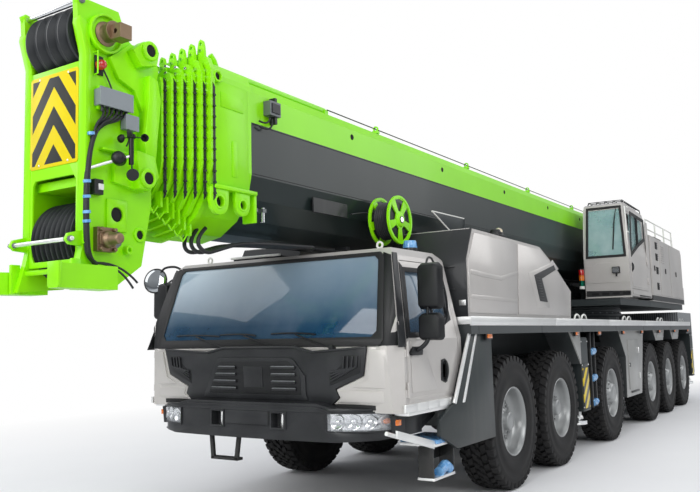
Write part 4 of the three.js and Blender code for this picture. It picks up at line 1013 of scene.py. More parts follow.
mirror_glass, wire = blank("mirror_glass")
haze = noise(wire, 5, 3)
mirror_glass = surface(mirror_glass,
                       {"Base Color": haze.mix((0.26, 0.28, 0.3), (0.42, 0.44, 0.45)), "Metallic": 1.0,
                                      "Roughness": haze * 0.04 + 0.02})
for side, name in ((1, "left"), (-1, "right")):
    heads = []
    for z0, z1 in ((1.795, 2.19), (1.545, 1.775)):
        head = plate("YZ",
                     [(1.415, z0 + 0.03), (1.43, z0), (1.63, z0), (1.648, z0 + 0.03), (1.648, z1 - 0.04),
                            (1.61, z1), (1.45, z1), (1.415, z1 - 0.03)], 2.07, 2.145, deep_black)
        for vertex in head.data.vertices:
            if vertex.co.x > 2.11:
                vertex.co.y = 1.53 + (vertex.co.y - 1.53) * 0.8
                vertex.co.z = (z0 + z1) / 2 + (vertex.co.z - (z0 + z1) / 2) * 0.88
        heads.append(rounded(head, 0.016, 3))
        heads.append(plate("YZ",
                           [(1.435, z0 + 0.03), (1.625, z0 + 0.03), (1.625, z1 - 0.035), (1.44, z1 - 0.035)],
                           2.065, 2.072, mirror_glass))
    heads += [
        tube([(2.1, 1.52, 1.62), (2.12, 1.51, 1.545), (2.14, 1.48, 1.505), (2.15, 1.44, 1.475),
              (2.15, 1.4, 1.462)], 0.019, deep_black),
        tube([(2.12, 1.52, 1.56), (2.13, 1.51, 1.66), (2.12, 1.52, 1.86), (2.11, 1.52, 2.0)], 0.014,
             deep_black),
        plate("XZ", [(2.06, 1.43), (2.24, 1.43), (2.26, 1.455), (2.2, 1.5), (2.1, 1.5), (2.05, 1.47)],
              1.4, 1.428, deep_black),
        tube([(2.1, 1.5, 2.15), (2.02, 1.47, 2.235), (1.84, 1.42, 2.255), (1.68, 1.36, 2.235),
              (1.61, 1.4, 2.12),
              (1.6, 1.445, 1.9), (1.605, 1.445, 1.74), (1.63, 1.435, 1.675), (1.74, 1.412, 1.65)], 0.0095,
             deep_black)]
    if side < 0:
        bowl = turned([(0.0, 0.075), (0.05, 0.07), (0.105, 0.038), (0.128, 0.0), (0.134, -0.012),
                       (0.122, -0.016),
                       (0.0, -0.004)], (2.11, 1.615, 2.2), (-1, 0.35, -0.15), deep_black, 40)
        glass = turned([(0.0, -0.04), (0.07, -0.033), (0.12, -0.015), (0.12, -0.01), (0.0, -0.008)],
                       (2.11, 1.615, 2.2), (-1, 0.35, -0.15), mirror_glass, 40)
        heads += [bowl, glass,
                  tube([(2.1, 1.61, 2.22), (2.11, 1.55, 2.32), (2.1, 1.45, 2.345), (2.06, 1.34, 2.335),
                                     (2.03, 1.25, 2.24)], 0.012, deep_black)]
    heads = [sided(part, side) for part in heads]
    fitted("mirrors_" + name, heads, "cab_door_" + name, 0.003,
           stands_for=("mirror_" + name,))

sills = [block((x, 1.396, 0.985), (x + 0.197, 1.418, 1.045), aluminium)
         for x in [1.36 + k * 0.2 for k in range(5)]]
sills += [block((1.3, 1.28, 0.955), (2.3, 1.412, 0.985), aluminium),
          plate("XZ", [(2.32, 0.955), (2.3, 0.8), (1.9, 0.8), (1.62, 0.9), (1.62, 0.955)], 1.25, 1.3,
                charcoal),
          block((2.265, 1.295, 0.88), (2.315, 1.322, 0.925), orange_lens),
          plate("XZ", [(2.312, 1.5), (2.425, 1.5), (2.2, 2.285), (2.125, 2.285), (2.14, 2.225),
                       (2.312, 1.57)], 0, 0.01, charcoal)]
on_door(sills[-1])
step = [tube([(2.44, 1.28, 0.83), (2.2, 1.33, 0.76), (1.84, 1.37, 0.69), (1.76, 1.37, 0.68)], 0.018,
             aluminium, False),
        plate("XZ", [(2.46, 0.86), (2.46, 0.8), (1.83, 0.64), (1.82, 0.705)], 1.375, 1.392, aluminium),
        plate("XY", [(1.83, 1.06), (1.83, 1.4), (1.34, 1.4), (1.34, 1.06)], 0.655, 0.68, aluminium),
        block((1.845, 1.25, 0.4), (1.86, 1.39, 0.655), satin_black),
        block((1.45, 1.25, 0.4), (1.465, 1.39, 0.655), satin_black),
        block((1.46, 1.245, 0.52), (1.85, 1.255, 0.655), satin_black),
        block((1.45, 1.24, 0.38), (1.86, 1.395, 0.402), aluminium)]
film = [block((1.335, 1.05, 0.676), (1.8, 1.405, 0.71), blue_film),
        tube([(1.5, 1.36, 0.43), (1.58, 1.365, 0.49), (1.62, 1.35, 0.44), (1.71, 1.365, 0.43)], 0.045,
             blue_film)]
fitted("cab_sills_and_steps", [*both_sides(*sills), *step, *film], "carrier", 0.003)

# Roof fittings: lashing eyes, a slotted plate over the hatch and a beacon still in blue film.
roof = [block((1.55, -0.62, 2.345), (2.05, -0.06, 2.362), charcoal),
        block((1.6, -0.58, 2.36), (1.99, -0.37, 2.376), satin_black),
        block((1.6, -0.31, 2.36), (1.99, -0.1, 2.376), satin_black),
        tube([(2.06, -0.64, 2.37), (2.06, -0.04, 2.37)], 0.012, white_enamel),
        rod((1.42, 1.0, 2.34), (1.42, 1.0, 2.4), 0.075, satin_black, 28),
        rod((1.42, 1.0, 2.4), (1.42, 1.0, 2.47), 0.07, blue_film, 28, 0.058)]


def hoop(inner, outer, half, centre, along, material, steps=48):
    """A ring of rectangular section, from half before its centre to half behind it."""
    return turned([(inner, -half), (inner, half), (outer, half), (outer, -half)], centre, along, material,
                  steps)


for x, y in ((1.95, -1.02), (1.95, 0.98), (1.4, -1.02)):
    roof.append(hoop(0.018, 0.036, 0.006, (x, y, 2.385), (1, 0, 0),
                       white_enamel, 24))
    roof.append(rod((x, y, 2.335), (x, y, 2.356), 0.045, white_enamel, 24, 0.03))
fitted("cab_roof_fittings", roof, "carrier", 0.002)

# Cab interior: moulded dashboard, steering wheel and two sprung seats in dark cloth.
cloth, wire = blank("seat_cloth")
weave = noise(wire, 620, 1)
cloth = surface(cloth, {"Base Color": weave.mix(colour(38, 40, 44), colour(66, 68, 72)),
                        "Roughness": weave * 0.1 + 0.8, "Normal": wire.node("Bump", {},
                                            {"Strength": 0.3, "Distance": 0.001, "Height": weave})})


def seat(name, place, body):
    """A sprung seat. Its cushion, back and head rest are one padded piece; its stand is returned."""
    pads = []
    for low, high in (((-0.24, -0.24, 0.3), (0.26, 0.24, 0.44)), ((-0.34, -0.23, 0.42), (-0.2, 0.23, 1.02)),
                      ((-0.33, -0.14, 1.05), (-0.22, 0.14, 1.24))):
        pad = block(low, high, cloth)
        rounded(pad, 0.035, 3)
        bpy.context.view_layer.objects.active = pad
        soft = pad.modifiers.new("crown", "SUBSURF")
        soft.levels = soft.render_levels = 1
        bpy.ops.object.modifier_apply(modifier=soft.name)
        pads.append(pad)
    stand = block((-0.2, -0.16, 0.0), (0.18, 0.16, 0.3), deep_black)
    for part in (*pads, stand):
        part.data.transform(Matrix.Translation(place))
    fitted(name, pads, body, 0.004, segments=1)
    return stand


cabin = [plate("XZ", [(2.36, 1.04), (2.37, 1.5), (2.22, 1.545), (2.02, 1.5), (2.0, 1.4), (2.2, 1.2),
                      (2.22, 1.04)], -1.3, 1.3, deep_black),
         block((1.3, -1.3, 1.032), (2.3, 1.3, 1.045), deep_black),
         hoop(0.205, 0.232, 0.014, (1.96, 0.72, 1.56), (0.5, 0, 0.87),
                deep_black, 40),
         tube([(1.8, 0.6, 1.655), (1.96, 0.72, 1.555), (2.12, 0.84, 1.465)], 0.014, deep_black),
         tube([(1.96, 0.72, 1.555), (2.1, 0.72, 1.44), (2.22, 0.72, 1.3)], 0.03, deep_black, False)]
cabin += [seat("driver_seat", (1.66, 0.72, 1.045), "carrier"),
          seat("passenger_seat", (1.66, -0.72, 1.045), "carrier")]
fitted("cab_interior", cabin, "carrier", 0.004, segments=1)

# ---- Boom: base section and telescopic sections ----
# Welded high-strength steel boxes that slide in one another.
# Lime above and on the collars, dark grey below the stripe.
FOOT_BACK, FOOT_Z, NOSE_DOWN = 9.3, 3.1, math.radians(0.75)
BOOM = Matrix.Translation((AXLE_1 - FOOT_BACK, 0, FOOT_Z)) @ Matrix.Rotation(NOSE_DOWN, 4, "Y")


def two_tone(wire):
    """Lime above the stripe and on the front frame, dark grey below it, measured square to the boom."""
    along, height = axis(wire, "X"), axis(wire, "Z")
    square = height - FOOT_Z + (along - (AXLE_1 - FOOT_BACK)) * math.sin(NOSE_DOWN)
    ahead_of = (along > (AXLE_1 - FOOT_BACK + 12.42)) + (square > 0.373)
    return (ahead_of > 0.5).mix(colour(30, 39, 38), lime)


boom_enamel = enamel("boom_enamel", lime, 0.34, coat=0.12, dust=0.05, tint=two_tone)
coat_nodes(boom_enamel, "boom_base")

END = 12.95
frame_bits = []
for side in (1, -1):
    bits = [
        slab("XZ", (12.5, -0.2), (12.88, 0.6), 0.53, 0.54,
              lime_enamel),
        slab("XZ", (12.56, 0.4), (12.82, 0.52), 0.538, 0.546, lime_enamel),
        slab("XZ", (12.64, -0.12), (12.7, 0.16), 0.538, 0.546,
              lime_enamel),
        block((12.44, 0.5, -0.235), (12.92, 0.575, -0.205), lime_enamel),
        block((12.44, 0.44, -0.45), (12.47, 0.565, -0.215), lime_enamel)]
    for x, z, r, hole in ((12.86, -0.33, 0.1, 0.04), (12.6, -0.33, 0.085, 0.034)):
        ear = plate("XZ", [(x - r, z + 0.1), (x - r, z)] +
                    [(x - r * math.cos(a), z - r * math.sin(a)) for a in (0.5, 1.0, 1.57, 2.1, 2.6)] +
                    [(x + r, z), (x + r, z + 0.1)], 0.525, 0.56, lime_enamel)
        ear = hollow(ear, rod((x, 0.4, z), (x, 0.7, z), hole, lime_enamel, 20))
        # The ears' bores hold near-black discs of painted shade.
        bits += [ear, hoop(hole, hole + 0.016, 0.022, (x, 0.545, z), (0, 1, 0), lime_enamel, 24),
                 rod((x, 0.505, z), (x, 0.53, z), hole, hole_shade_and_joint_black, 20)]
    # The top hoop's bore holds a near-black disc of painted shade.
    bits += [hoop(0.03, 0.046, 0.02, (12.87, 0.548, 0.62), (0, 1, 0),
                    lime_enamel, 24),
             rod((12.87, 0.5, 0.62), (12.87, 0.55, 0.62), 0.03, hole_shade_and_joint_black, 20)]
    frame_bits += [sided(part, side) for part in bits]
for k, y in enumerate((-0.36, -0.12, 0.12, 0.36)):
    frame_bits.append(block((12.52, y - 0.012, 0.76), (12.9, y + 0.012, 0.785), lime_enamel))
fitted("boom_front_frame", frame_bits, "boom_base", 0.004, base=BOOM)

# Rope guides, lashing holes and the thin load rope along the boom's top edge.
rope_bits = [tube([(12.6, 0.3, 0.815), (12.63, 0.305, 0.86), (12.67, 0.3, 0.9)], 0.022, lime_enamel, False)]
for x in (1.2, 3.4, 5.7, 8.0, 10.3):
    rope_bits.append(hoop(0.016, 0.03, 0.01, (x, 0.42, 0.765), (1, 0, 0),
                            lime_enamel, 20))
    rope_bits.append(block((x - 0.03, 0.39, 0.715), (x + 0.03, 0.45, 0.742), lime_enamel))
rope_bits.append(tube([(0.2, 0.42, 0.765), (6.0, 0.42, 0.762), (11.2, 0.42, 0.765)], 0.006, satin_black,
                      False))
# Lashing holes in the boom's sides: near-black discs of painted shade.
for x in (0.6, 1.65, 3.2, 5.0, 6.9, 8.9, 10.9):
    for side in (1, -1):
        rope_bits.append(rod((x, side * 0.494, 0.55), (x, side * 0.503, 0.55), 0.028, hole_shade_and_joint_black, 20))
for z, x1 in ((0.36, 12.4), (-0.045, 12.42)):
    for side in (1, -1):
        rope_bits.append(block((0.1, side * 0.5 - 0.004, z), (x1, side * 0.5 + 0.004, z + 0.006),
                               satin_black))
fitted("boom_top_rope", rope_bits, "boom_base", 0.002, base=BOOM, segments=1)

# Junction boxes, hoses and brackets bolted to the boom's side and belly.
box_bits = [block((12.12, 0.5, 0.46), (12.26, 0.575, 0.58), iron),
            block((12.14, 0.575, 0.48), (12.24, 0.585, 0.56), charcoal),
            block((12.15, 0.49, 0.4), (12.18, 0.56, 0.62), satin_black),
            tube([(12.2, 0.54, 0.44), (12.21, 0.56, 0.38), (12.26, 0.54, 0.33), (12.34, 0.525, 0.35)],
                 0.008, matt_black),
            tube([(12.24, 0.55, 0.44), (12.27, 0.57, 0.36), (12.36, 0.535, 0.39)], 0.008, matt_black)]
for k in range(3):
    y = 0.22 + 0.09 * k
    box_bits.append(tube([(12.78, y - 0.06, -0.5), (12.84 + 0.03 * k, y - 0.06, -0.6),
                          (12.8, y - 0.05, -0.68 - 0.01 * k),
                          (12.66, y - 0.04, -0.66), (12.45, y - 0.03, -0.6), (12.25, y, -0.585),
                          (11.9, y, -0.57), (11.45, y, -0.555)], 0.016, matt_black))
for k, x in enumerate((12.26, 12.34, 12.42)):
    box_bits += [rod((x, 0.475 - 0.02 * k, -0.42), (x, 0.475 - 0.02 * k, -0.3), 0.018, chrome, 16),
                 block((x - 0.022, 0.44 - 0.02 * k, -0.34), (x + 0.022, 0.5 - 0.02 * k, -0.31), iron)]
for x0, x1 in ((6.6, 11.3), (2.3, 6.4)):
    box_bits.append(tube([(x0, 0.3, -0.545), ((x0 + x1) / 2, 0.31, -0.565), (x1, 0.32, -0.55)], 0.013,
                         matt_black))
    box_bits.append(tube([(x0, 0.26, -0.555), ((x0 + x1) / 2, 0.27, -0.575), (x1, 0.28, -0.56)], 0.013,
                         matt_black))
for x in (7.1, 8.4, 9.6, 10.8):
    box_bits.append(block((x - 0.03, 0.22, -0.58), (x + 0.03, 0.36, -0.5), satin_black))
box_bits += [block((11.05, 0.5, -0.26), (11.6, 0.52, -0.13), satin_black),
             tube([(11.0, 0.53, -0.22), (10.6, 0.53, -0.14), (10.2, 0.53, -0.19), (9.8, 0.52, -0.16)], 0.008,
                  matt_black)]
fitted("boom_hoses_and_boxes", box_bits, "boom_base", 0.002, base=BOOM, segments=1)

# Collar of each section: wear-pad bolts down both sides, rope fingers on top, hose hooks below. A dark strip
# along the back of each collar side is painted shade for the deep gap behind it.
COLLAR_STEP, SECTION_STEP, COLLAR_OUT = 0.058, 0.042, 0.062


def collar_fittings(i):
    """Bolts, fingers and hooks of the collar of section i, counted from the base section."""
    face = END + COLLAR_STEP * i
    half, top = 0.5 - SECTION_STEP * i + COLLAR_OUT, 0.73 - SECTION_STEP * i + COLLAR_OUT
    bits = []
    for side in (1, -1):
        for k in range(10):
            z = 0.46 - 0.082 * k
            bits.append(rod((face - 0.028, side * (half - 0.004), z),
                            (face - 0.028, side * (half + 0.016), z), 0.012, matt_black, 6))
        # Dark strip along the back of the collar's side: painted shade for the deep gap behind the collar.
        strip = plate("XZ", [(face - 0.0455, -0.3), (face - 0.02, -0.33), (face - 0.02, 0.56),
                             (face - 0.0455, 0.53)],
                      *sorted((side * (half - 0.002), side * (half + 0.002))), matt_black)
        bits.append(strip)
        for k in range(4):
            z = 0.62 - 0.05 * k
            bits.append(rod((face - 0.02, side * (half - 0.05 - 0.002 * k), z + 0.03),
                            (face + 0.014, side * (half - 0.05), z + 0.03), 0.012, chrome, 6))
        y = side * (half - 0.115)
        finger = plate("YZ", [(y - 0.04, top - 0.05), (y - 0.03, top + 0.06), (y - 0.018, top + 0.105),
                              (y, top + 0.118),
                              (y + 0.018, top + 0.105), (y + 0.03, top + 0.06), (y + 0.04, top - 0.05)],
                       face - 0.04, face - 0.016, lime_enamel)
        bits.append(hollow(finger, rod((face - 0.1, y, top + 0.082), (face + 0.1, y, top + 0.082), 0.014,
                                       lime_enamel, 14)))
        bits.append(rod((face - 0.046, y, top + 0.03), (face - 0.008, y, top + 0.03), 0.013, chrome, 6))
        for k in range(3):
            y2 = side * (0.06 + 0.1 * k)
            bits.append(rod((face - 0.021, y2, top - 0.004), (face - 0.021, y2, top + 0.01), 0.013,
                            matt_black, 6))
    low = -0.537 + SECTION_STEP * i - COLLAR_OUT
    for side in (1, -1):
        y = side * 0.3
        dip = low * 0.86
        bits.append(plate("YZ", [(y - 0.03, dip + 0.06), (y - 0.03, dip - 0.055), (y + 0.03, dip - 0.055),
                                 (y + 0.03, dip + 0.06)], face - 0.032, face - 0.012, lime_enamel))
        bits.append(tube([(face - 0.02, y, dip - 0.04), (face + 0.03, y, dip - 0.1),
                          (face + 0.06, y, dip - 0.06)], 0.007, lime_enamel, False))
    return bits


for i in range(6):
    body = "boom_base" if i == 0 else "boom_section_" + str(i + 1)
    fitted("collar_fittings_" + str(i + 1), collar_fittings(i), body, 0, base=BOOM)

# ---- Hose reel on the boom's side ----
# Two spoked lime discs on a pin with a black hydraulic hose wound between them.
reel_x, reel_z = 1.25 + FOOT_BACK, 2.71 - FOOT_Z + math.sin(NOSE_DOWN) * (1.25 + FOOT_BACK)
reel = []
for y in (0.598, 0.802):
    disc = turned([(0.0, -0.007), (0.0, 0.007), (0.228, 0.007), (0.235, 0.0), (0.228, -0.007)],
                  (reel_x, y, reel_z), (0, 1, 0), lime_enamel, 48)
    for k in range(5):
        a = 2 * math.pi * k / 5 + 0.3
        c, s = math.cos(a), math.sin(a)
        disc = hollow(disc, plate("XZ", [
            (reel_x + c * 0.085 - s * 0.03, reel_z + s * 0.085 + c * 0.03),
                                         (reel_x + c * 0.19 - s * 0.085, reel_z + s * 0.19 + c * 0.085),
            (reel_x + c * 0.205, reel_z + s * 0.205),
                                         (reel_x + c * 0.19 + s * 0.085, reel_z + s * 0.19 - c * 0.085),
            (reel_x + c * 0.085 + s * 0.03, reel_z + s * 0.085 - c * 0.03)], y - 0.05, y + 0.05,
                                  lime_enamel))
    reel.append(disc)
    reel.append(hoop(0.214, 0.238, 0.012, (reel_x, y, reel_z), (0, 1, 0),
                       lime_enamel, 48))
reel += [turned([(0.0, -0.11), (0.0, 0.125), (0.062, 0.125), (0.075, 0.11), (0.075, -0.11)],
                (reel_x, 0.7, reel_z), (0, 1, 0), lime_enamel, 32),
         turned([(0.0, 0.118), (0.0, 0.132), (0.03, 0.132), (0.034, 0.118)], (reel_x, 0.7, reel_z),
                (0, 1, 0), chrome, 6)]
coils = [(0.076, -0.09)]
for k in range(8):
    coils += [(0.175, -0.088 + 0.022 * k), (0.186, -0.077 + 0.022 * k)]
coils += [(0.175, 0.088), (0.076, 0.09)]
reel.append(turned(coils, (reel_x, 0.7, reel_z), (0, 1, 0), matt_black, 48))
fitted("hose_reel_wound", reel, "hose_reel", 0.0015, base=BOOM, segments=1,
       stands_for=("hose_reel",))

# ---- Boom head: plates and sheaves ----
# Lime side plates with stiffeners and jib brackets, and two packs of black nylon rope sheaves.
def grooved(count, radius, half):
    """Profile of a pack of rope sheaves: deep round-bottomed grooves between rounded rims."""
    pitch = 2 * half / count
    profile = [(0.0, -half - 0.012), (0.07, -half - 0.012), (0.072, -half - 0.002),
               (radius - 0.075, -half + 0.01), (radius - 0.06, -half + 0.002)]
    for k in range(count):
        y = -half + pitch * k
        profile += [(radius - 0.004, y + 0.002), (radius, y + 0.12 * pitch),
                    (radius - 0.012, y + 0.22 * pitch),
                    (radius - 0.042, y + 0.42 * pitch), (radius - 0.042, y + 0.58 * pitch),
                    (radius - 0.012, y + 0.78 * pitch),
                    (radius, y + 0.88 * pitch), (radius - 0.004, y + pitch - 0.002)]
    return profile + [(radius - 0.06, half - 0.002), (radius - 0.075, half - 0.01), (0.072, half + 0.002),
                      (0.07, half + 0.012), (0.0, half + 0.012)]


nylon = moulded("black_nylon", colour(38, 40, 42), 0.38)


def bolts(count, plane, centre, reach, near, far, radius, material):
    """Hexagon heads on a circle in a plane, from near to far along the third axis."""
    a, b, c = PLANES[plane]
    heads = []
    for k in range(count):
        angle = math.tau * k / count
        start, end = [0, 0, 0], [0, 0, 0]
        start[a] = end[a] = centre[0] + reach * math.cos(angle)
        start[b] = end[b] = centre[1] + reach * math.sin(angle)
        start[c], end[c] = near, far
        heads.append(rod(start, end, radius, material, 6))
    return heads


for name, x, z, radius, count in (("top_sheaves", END + 0.77, 0.73, 0.229, 4),
                                  ("bottom_sheaves", END + 0.66, -0.652, 0.285, 8)):
    width = 0.226 if count == 4 else 0.206
    pack = [turned(grooved(count, radius, width), (x, 0, z), (0, 1, 0), nylon, 72),
            turned([(0.0, -0.301), (0.06, -0.301), (0.06, 0.301), (0.0, 0.301)], (x, 0, z), (0, 1, 0),
                   iron, 32)]
    for side in (1, -1):
        pack += bolts(8, "XZ", (x, z), 0.1, side * 0.226, side * 0.236, 0.011, chrome)
    fitted(name + "_grooved", pack, name, 0, base=BOOM, stands_for=(name,))


def head_half(side):
    """Stiffeners, bosses and jib brackets of one side of the head; side is 1 for left."""
    bits = [
        # front flange and the doubler round the top sheave pin
        plate("XZ", [(END + 0.885, -0.7), (END + 0.925, -0.7), (END + 0.925, 0.56), (END + 0.98, 0.76),
                     (END + 0.975, 0.8), (END + 0.9, 0.76), (END + 0.885, 0.56)], 0.25, 0.322, lime_enamel),
        turned([(0.0, 0.0), (0.125, 0.0), (0.135, 0.006), (0.135, 0.016), (0.12, 0.022), (0.0, 0.022)],
               (END + 0.77, 0.3, 0.73), (0, 1, 0), lime_enamel, 40),
        turned([(0.118, 0.0), (0.118, 0.045), (0.135, 0.045), (0.135, 0.0)], (END + 0.77, 0.3, 0.73),
               (0, 1, 0), lime_enamel, 40),
        # upper jib bracket: boxed arm that ends in a bored boss
        plate("XZ", [(END + 0.74, 0.58), (END + 0.56, 0.72), (END + 0.35, 0.74), (END + 0.3, 0.6),
                     (END + 0.34, 0.38), (END + 0.44, 0.24),
                     (END + 0.52, 0.4), (END + 0.66, 0.45)], 0.295, 0.335, lime_enamel),
        plate("XZ", [(END + 0.6, 0.66), (END + 0.5, 0.745), (END + 0.4, 0.745), (END + 0.36, 0.7),
                     (END + 0.38, 0.6), (END + 0.52, 0.56)], 0.33, 0.405, lime_enamel),
        # middle flange joining the two brackets
        plate("XZ", [(END + 0.44, 0.52), (END + 0.36, 0.5), (END + 0.33, 0.36), (END + 0.36, 0.1),
                     (END + 0.38, -0.1), (END + 0.47, -0.1),
                     (END + 0.48, 0.06), (END + 0.44, 0.36)], 0.3, 0.392, lime_enamel),
        plate("XZ", [(END + 0.68, -0.06), (END + 0.4, -0.04), (END + 0.34, -0.24), (END + 0.44, -0.31),
                     (END + 0.7, -0.27)], 0.295, 0.335, lime_enamel),
        plate("XZ", [(END + 0.56, -0.04), (END + 0.4, -0.06), (END + 0.36, -0.2), (END + 0.44, -0.305),
                     (END + 0.54, -0.3)], 0.33, 0.405, lime_enamel),
        # stiffening rib and the plate round the lightening hole, whose opening holds a near-black disc of
        # painted shade
        block((END + 0.47, 0.3, -0.068), (END + 0.8, 0.345, -0.052), lime_enamel),
        hollow(slab("XZ", (END + 0.57, -0.6), (END + 0.74, -0.385), 0.3, 0.316,
                     lime_enamel),
               rod((END + 0.655, 0.2, -0.485), (END + 0.655, 0.4, -0.485), 0.05, lime_enamel, 24)),
        rod((END + 0.655, 0.29, -0.485), (END + 0.655, 0.3035, -0.485), 0.05, hole_shade_and_joint_black, 24),
        # rear ear with its hole, which holds a near-black disc of painted shade, and a small boss
        turned([(0.032, -0.006), (0.032, 0.014), (0.05, 0.014), (0.054, -0.006)],
               (END + 0.45, 0.301, -0.605), (0, 1, 0), lime_enamel, 28),
        rod((END + 0.45, 0.29, -0.605), (END + 0.45, 0.3035, -0.605), 0.032, hole_shade_and_joint_black, 20),
        turned([(0.0, 0.0), (0.03, 0.0), (0.03, 0.05), (0.014, 0.05), (0.014, 0.02), (0.0, 0.02)],
               (END + 0.57, 0.295, -0.72), (0, 1, 0), lime_enamel, 20)]
    # Bosses whose bores hold near-black discs of painted shade.
    for x, z in ((END + 0.455, 0.685), (END + 0.475, -0.225)):
        bits += [turned([(0.043, -0.045), (0.043, 0.045), (0.064, 0.045), (0.07, 0.038), (0.07, -0.045)],
                        (x, 0.385, z), (0, 1, 0), lime_enamel, 32),
                 rod((x, 0.35, z), (x, 0.424, z), 0.043, hole_shade_and_joint_black, 24)]
    return [sided(part, side) for part in bits]


head_bits = head_half(1) + head_half(-1)
head_bits += [
    # front plate round the chevron board, and the frame of the lower opening
    hollow(slab("YZ", (-0.255, -0.83), (0.255, 0.52), END + 0.9,
                 END + 0.921, lime_enamel),
           plate("YZ", [(-0.21, -0.79), (0.21, -0.79), (0.225, -0.74), (0.225, -0.27), (0.2, -0.235),
                        (-0.2, -0.235), (-0.225, -0.27), (-0.225, -0.74)], END, END + 2, lime_enamel)),
    # flanges on the arms below the head
    *both_sides(slab("YZ", (0.395, -0.99), (0.5, -0.84), END + 1.225,
                      END + 1.25,
                      lime_enamel),
                slab("YZ", (0.3, -1.0), (0.325, -0.8), END + 0.95,
                      END + 1.02,
                      lime_enamel))]
for side in (1, -1):
    y = side * 0.285
    lug = plate("XZ", [(END + 0.8, 0.84), (END + 0.9, 0.82), (END + 0.975, 0.87), (END + 1.0, 0.925),
                       (END + 0.96, 0.955), (END + 0.9, 0.945)], y - 0.012, y + 0.012, lime_enamel)
    head_bits += [lug, rod((END + 0.95, y - side * 0.03, 0.91), (END + 0.95, y + side * 0.035, 0.91), 0.022,
                           iron, 6)]
    lug = plate("XZ", [(END + 0.88, -0.6), (END + 1.03, -0.64), (END + 1.05, -0.68), (END + 1.02, -0.71),
                       (END + 0.88, -0.72)], y - 0.012, y + 0.012, lime_enamel)
    head_bits += [lug, rod((END + 1.02, y - side * 0.03, -0.675), (END + 1.02, y + side * 0.035, -0.675),
                           0.02, iron, 6)]
head_bits += [rod((END + 0.95, -0.31, 0.91), (END + 0.95, 0.31, 0.91), 0.017, chrome, 20),
              rod((END + 1.02, -0.33, -0.675), (END + 1.02, 0.33, -0.675), 0.014, aluminium, 20),
              rod((END + 0.55, -0.25, -0.33), (END + 0.55, 0.25, -0.33), 0.014, aluminium, 20)]
fitted("head_plates", head_bits, "boom_head", 0.004, base=BOOM)

# Chevron board: a rounded yellow sheet with black bands, riveted to the front plate.
chevron, wire = blank("chevron_board")
across, up = abs(axis(wire, "Y")), axis(wire, "Z")
square = up - FOOT_Z + (axis(wire, "X") - (AXLE_1 - FOOT_BACK)) * math.sin(NOSE_DOWN)
phase = (square + across * 1.32 + 0.005) / 0.262
band = phase.maths("FRACT", phase) > 0.5
border = (across > 0.226) + (square > 0.456) + (square < -0.134)
ink = band * (1 - (border > 0.5))
wear = noise(wire, 9, 6).ramp(0.45, 0.8)
chevron = surface(chevron, {
    "Base Color": (wear * 0.1).mix(ink.mix(colour(212, 192, 0), colour(46, 48, 48)), colour(120, 110, 60)),
    "Roughness": wear * 0.2 + 0.45, "Specular IOR Level": 0.2})
board = plate("YZ", [(-0.235, -0.158), (0.235, -0.158), (0.25, -0.143), (0.25, 0.467), (0.235, 0.482),
                     (-0.235, 0.482), (-0.25, 0.467), (-0.25, -0.143)], END + 0.921, END + 0.927, chevron)
rivets = [rod((END + 0.926, y, z), (END + 0.93, y, z), 0.008, aluminium,
              12) for y in (-0.15, 0.15) for z in (-0.135, 0.462)]
fitted("head_chevron_board", [board, *rivets], "boom_head", 0.0015, base=BOOM)

# Pin fittings in bare bronze steel, electrical boxes, wind sensor, camera, lamp and their cable bundle.
bronze = metal("worn_bronze", colour(150, 128, 105), 0.5, (1, 1, 1), 30)
kit = [turned([(0.0, 0.0), (0.085, 0.0), (0.085, 0.012), (0.062, 0.018), (0.06, 0.07), (0.07, 0.075),
               (0.07, 0.1), (0.0, 0.1)], (END + 0.77, 0.318, 0.73), (0, 1, 0), bronze, 32),
       hollow(block((END + 0.7, 0.405, 0.665), (END + 0.8, 0.505, 0.765), bronze),
              rod((END + 0.6, 0.455, 0.715), (END + 0.9, 0.455, 0.715), 0.017, bronze, 16)),
       block((END + 0.69, 0.3, -0.745), (END + 0.84, 0.345, -0.585), bronze),
       block((END + 0.7, 0.345, -0.7), (END + 0.83, 0.36, -0.63), bronze),
       turned([(0.0, 0.0), (0.058, 0.0), (0.055, 0.03), (0.04, 0.045), (0.036, 0.12), (0.028, 0.13),
               (0.0, 0.13)], (END + 0.762, 0.345, -0.665), (0, 1, 0), bronze, 28)]
kit += [rod((x, 0.34, z), (x, 0.372, z), 0.014, bronze, 6) for x in (END + 0.71,
                                                                     END + 0.82) for z in (-0.73, -0.6)]
box_grey = enamel("box_grey", colour(128, 134, 138), 0.45, 0, 0.1, 0.1)
kit += [block((END + 0.585, 0.305, 0.225), (END + 0.845, 0.375, 0.335), box_grey),
        block((END + 0.575, 0.372, 0.218), (END + 0.855, 0.384, 0.342), box_grey),
        block((END + 0.6, 0.3, 0.2), (END + 0.63, 0.33, 0.36), lime_enamel),
        block((END + 0.8, 0.3, 0.2), (END + 0.83, 0.33, 0.36), lime_enamel),
        block((END + 0.52, 0.31, 0.105), (END + 0.625, 0.365, 0.2), box_grey),
        block((END + 0.515, 0.362, 0.1), (END + 0.63, 0.372, 0.205), box_grey),
        block((END + 0.8, 0.302, -0.375), (END + 0.87, 0.352, -0.275), satin_black),
        block((END + 0.805, 0.35, -0.345), (END + 0.845, 0.362, -0.305), aluminium)]
kit += [rod((x, 0.345, 0.185), (x, 0.345, 0.225), 0.011, satin_black, 12) for x in
        (END + 0.61, END + 0.65, END + 0.69, END + 0.73, END + 0.77, END + 0.81)]
